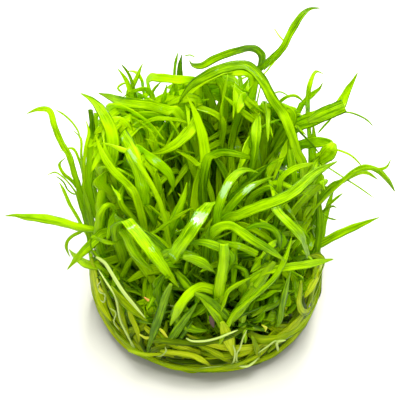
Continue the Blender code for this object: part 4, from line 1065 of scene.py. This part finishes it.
def fill_canopy(draw, lines, crowns):
    """Return more leaves, with their rosettes, where the viewer would see between the others."""
    canopy = Canopy(lines)
    added = []
    columns = int(SHEET_SIZE / GRID)
    for _ in range(FILL_ROUNDS):
        cells = [(i * GRID, j * GRID) for i in range(columns) for j in range(columns)
                 if not is_open(i * GRID, j * GRID)]
        draw.shuffle(cells)
        for across, down in cells:
            low = from_sheet(across, down, OPEN_HEIGHT)
            if canopy.seen_at(low)[1] < (low - EYE).length:
                continue
            for _ in range(FILL_TRIES):
                target = from_sheet(across, down, draw.uniform(FILL_LOWEST, CLUMP_HEIGHT - 6.0))
                if target.to_2d().length > MAT_RADIUS - 3.0 + 0.1 * target.z:
                    continue
                line, crown = filling_leaf_line(draw, target, crowns)
                if fits_behind(canopy, line):
                    canopy.add(line)
                    added.append((line, crown))
                    break
        canopy.settle()
    return added


def fits_behind(canopy, line):
    """Tell whether a leaf stays in the clump and hides no leaf that is already there."""
    hidden = 0
    fine = line.finer(4)
    for point in fine.points[2:]:
        across, down = to_sheet(point)
        if is_open(across, down) or point.z > CLUMP_HEIGHT or point.z < MAT_HEIGHT:
            return False
        if point.to_2d().length > MAT_RADIUS + 0.12 * point.z:
            return False
        distance = canopy.seen_at(point)[1]
        if (point - EYE).length < distance - HIDDEN_DEPTH and distance < math.inf:
            hidden += 1
    return hidden <= HIDDEN_MOST


def add_sheath(growth, centre, draw):
    """Grow the pale swollen foot of a rosette, ribbed by the leaf bases that wrap it."""
    turn = draw.uniform(*PHASES)
    for level in range(SHEATH_LEVELS + 1):
        t = level / SHEATH_LEVELS
        radius = SHEATH_RADIUS + 0.5 * math.sin(math.pi * t) - 1.5 * t * t
        row = []
        for k in range(SHEATH_SIDES):
            angle = turn + TURN * k / SHEATH_SIDES
            out = radius * (1.0 + 0.10 * math.sin(3 * angle + 1.2 * t) + (0.05 if k % 2 else 0.0))
            row.append(Vector((centre.x + out * math.cos(angle), centre.y + out * math.sin(angle),
                               centre.z - 0.6 + SHEATH_HEIGHT * t)))
        growth.add_row(row, t * 0.8, (0.55, 0.1 + 0.25 * t, 0.5, 0.5))
    growth.close(SHEATH_SIDES)


def slot_of(node):
    """Return the material slot of a node in the record."""
    rows = frame["record"].get("subparts", [])
    return next((row.get("material_slot") for row in rows if row.get("node") == node), "leaf")


def dress_nodes(draw, finishes):
    """Grow the leaves of every node but the root mat, and the leaves that fill the clump."""
    nodes = [node for node in sorted(frame["nodes"]) if node != "root_mat"]
    read = {node: read_leaves(node) for node in nodes}
    solid_lines = [line for node in nodes for line in read[node][0]]
    crowns = [read[node][1] for node in nodes if node.startswith("plantlet")]
    for line in solid_lines:
        line.is_blunt = any(math.dist(to_sheet(line.points[-1]), tip) < BLUNT_REACH for tip in BLUNT_TIPS)
    more = fill_canopy(random.Random(SEED + 2), solid_lines, crowns)
    mark_leaves(Canopy(solid_lines + [line for line, _ in more]))
    for node in nodes:
        slot = slot_of(node)
        growth = Growth()
        lines, centre = read[node]
        for line in lines:
            if slot == "root":
                add_strand(growth, line.points, 0.5, draw.uniform(0.5, 1.0), draw, 1.0, 6, 10)
            else:
                tone = tone_and_light_near(line.points[len(line.points) * 2 // 3]) + draw.uniform(*LEAF_TONE_SPREAD)
                add_blade(growth, line, tone, draw)
        if node.startswith("plantlet"):
            add_sheath(growth, centre, draw)
            for line in [line for line, crown in more if crown == centre]:
                tone = tone_and_light_near(line.points[3]) + draw.uniform(*FILLING_TONE_SPREAD)
                add_blade(growth, line, min(tone, FILLING_TONE_MOST), draw, steps=5)
        make_piece(node + "_grown", growth, finishes[slot], slot, node)


def dress_mat(draw, finishes):
    """Grow the root mat, and the drawn things of every kind."""
    growths = {kind: Growth() for kind in KINDS}
    add_drawn_things(draw, growths)
    make_piece("root_mat_felt", felt_growth(), felt_material(), "root_mat", "root_mat")
    pressed = Growth()
    add_wall_blades(pressed, draw)
    add_wall_strands(pressed, draw)
    add_rising_blades(pressed, draw)
    make_piece("root_mat_blades", pressed, finishes["wall_leaf"], "wall_leaf")
    make_piece("root_mat_roots", flat_strand_growth(draw), strand_material("pressed"), "root_mat")
    for kind, (name, finish, slot) in KINDS.items():
        make_piece(name, growths[kind], finishes[finish], slot)


def set_stage():
    """Make the floor, the lights and the viewer's camera."""
    scene = bpy.context.scene
    corners = [(x * FLOOR_REACH, y * FLOOR_REACH, 0.0) for x, y in ((-1, -1), (1, -1), (1, 1), (-1, 1))]
    floor_mesh = bpy.data.meshes.new("floor")
    floor_mesh.from_pydata(corners, [], [(0, 1, 2, 3)])
    paper = Nodes("paper")
    paper.plug(paper.shader, {"Base Color": PAPER, "Roughness": 0.9})
    floor_mesh.materials.append(paper.material)
    floor = add_object("floor", floor_mesh)
    scene.world = bpy.data.worlds.new("studio")
    scene.world.use_nodes = True
    sky = scene.world.node_tree.nodes["Background"]
    sky.inputs["Color"].default_value = SKY
    sky.inputs["Strength"].default_value = 1.0
    for name, (place, size, power) in LIGHTS.items():
        light = bpy.data.lights.new(name, "AREA")
        light.shape = "DISK"
        light.size = size
        light.energy = power
        add_object(name, light, place, LIT_PLACE - Vector(place))
    camera = bpy.data.cameras.new("viewer")
    camera.sensor_width = SENSOR_WIDTH
    camera.lens = SHEET_UNITS_PER_MM * (SHEET_CENTRE - EYE).length * SENSOR_WIDTH / SHEET_SIZE
    camera.clip_start = 0.01
    scene.camera = add_object("viewer", camera, EYE * MM, SHEET_CENTRE - EYE)
    scene.view_settings.view_transform = "Standard"


def main():
    """Dress every node, and set the stage."""
    draw = random.Random(SEED)
    finishes = {
        "leaf": leaf_material("leaf", 0.22, LEAF_COLOURS),
        "wall_leaf": leaf_material("wall_leaf", 0.10, WALL_LEAF_COLOURS),
        "root": strand_material("pale"),
        "orange": strand_material("orange_bit"),
        "brown": strand_material("brown_bit"),
        "yellow": strand_material("yellow_bit")}
    dress_nodes(draw, finishes)
    dress_mat(draw, finishes)
    set_stage()


main()
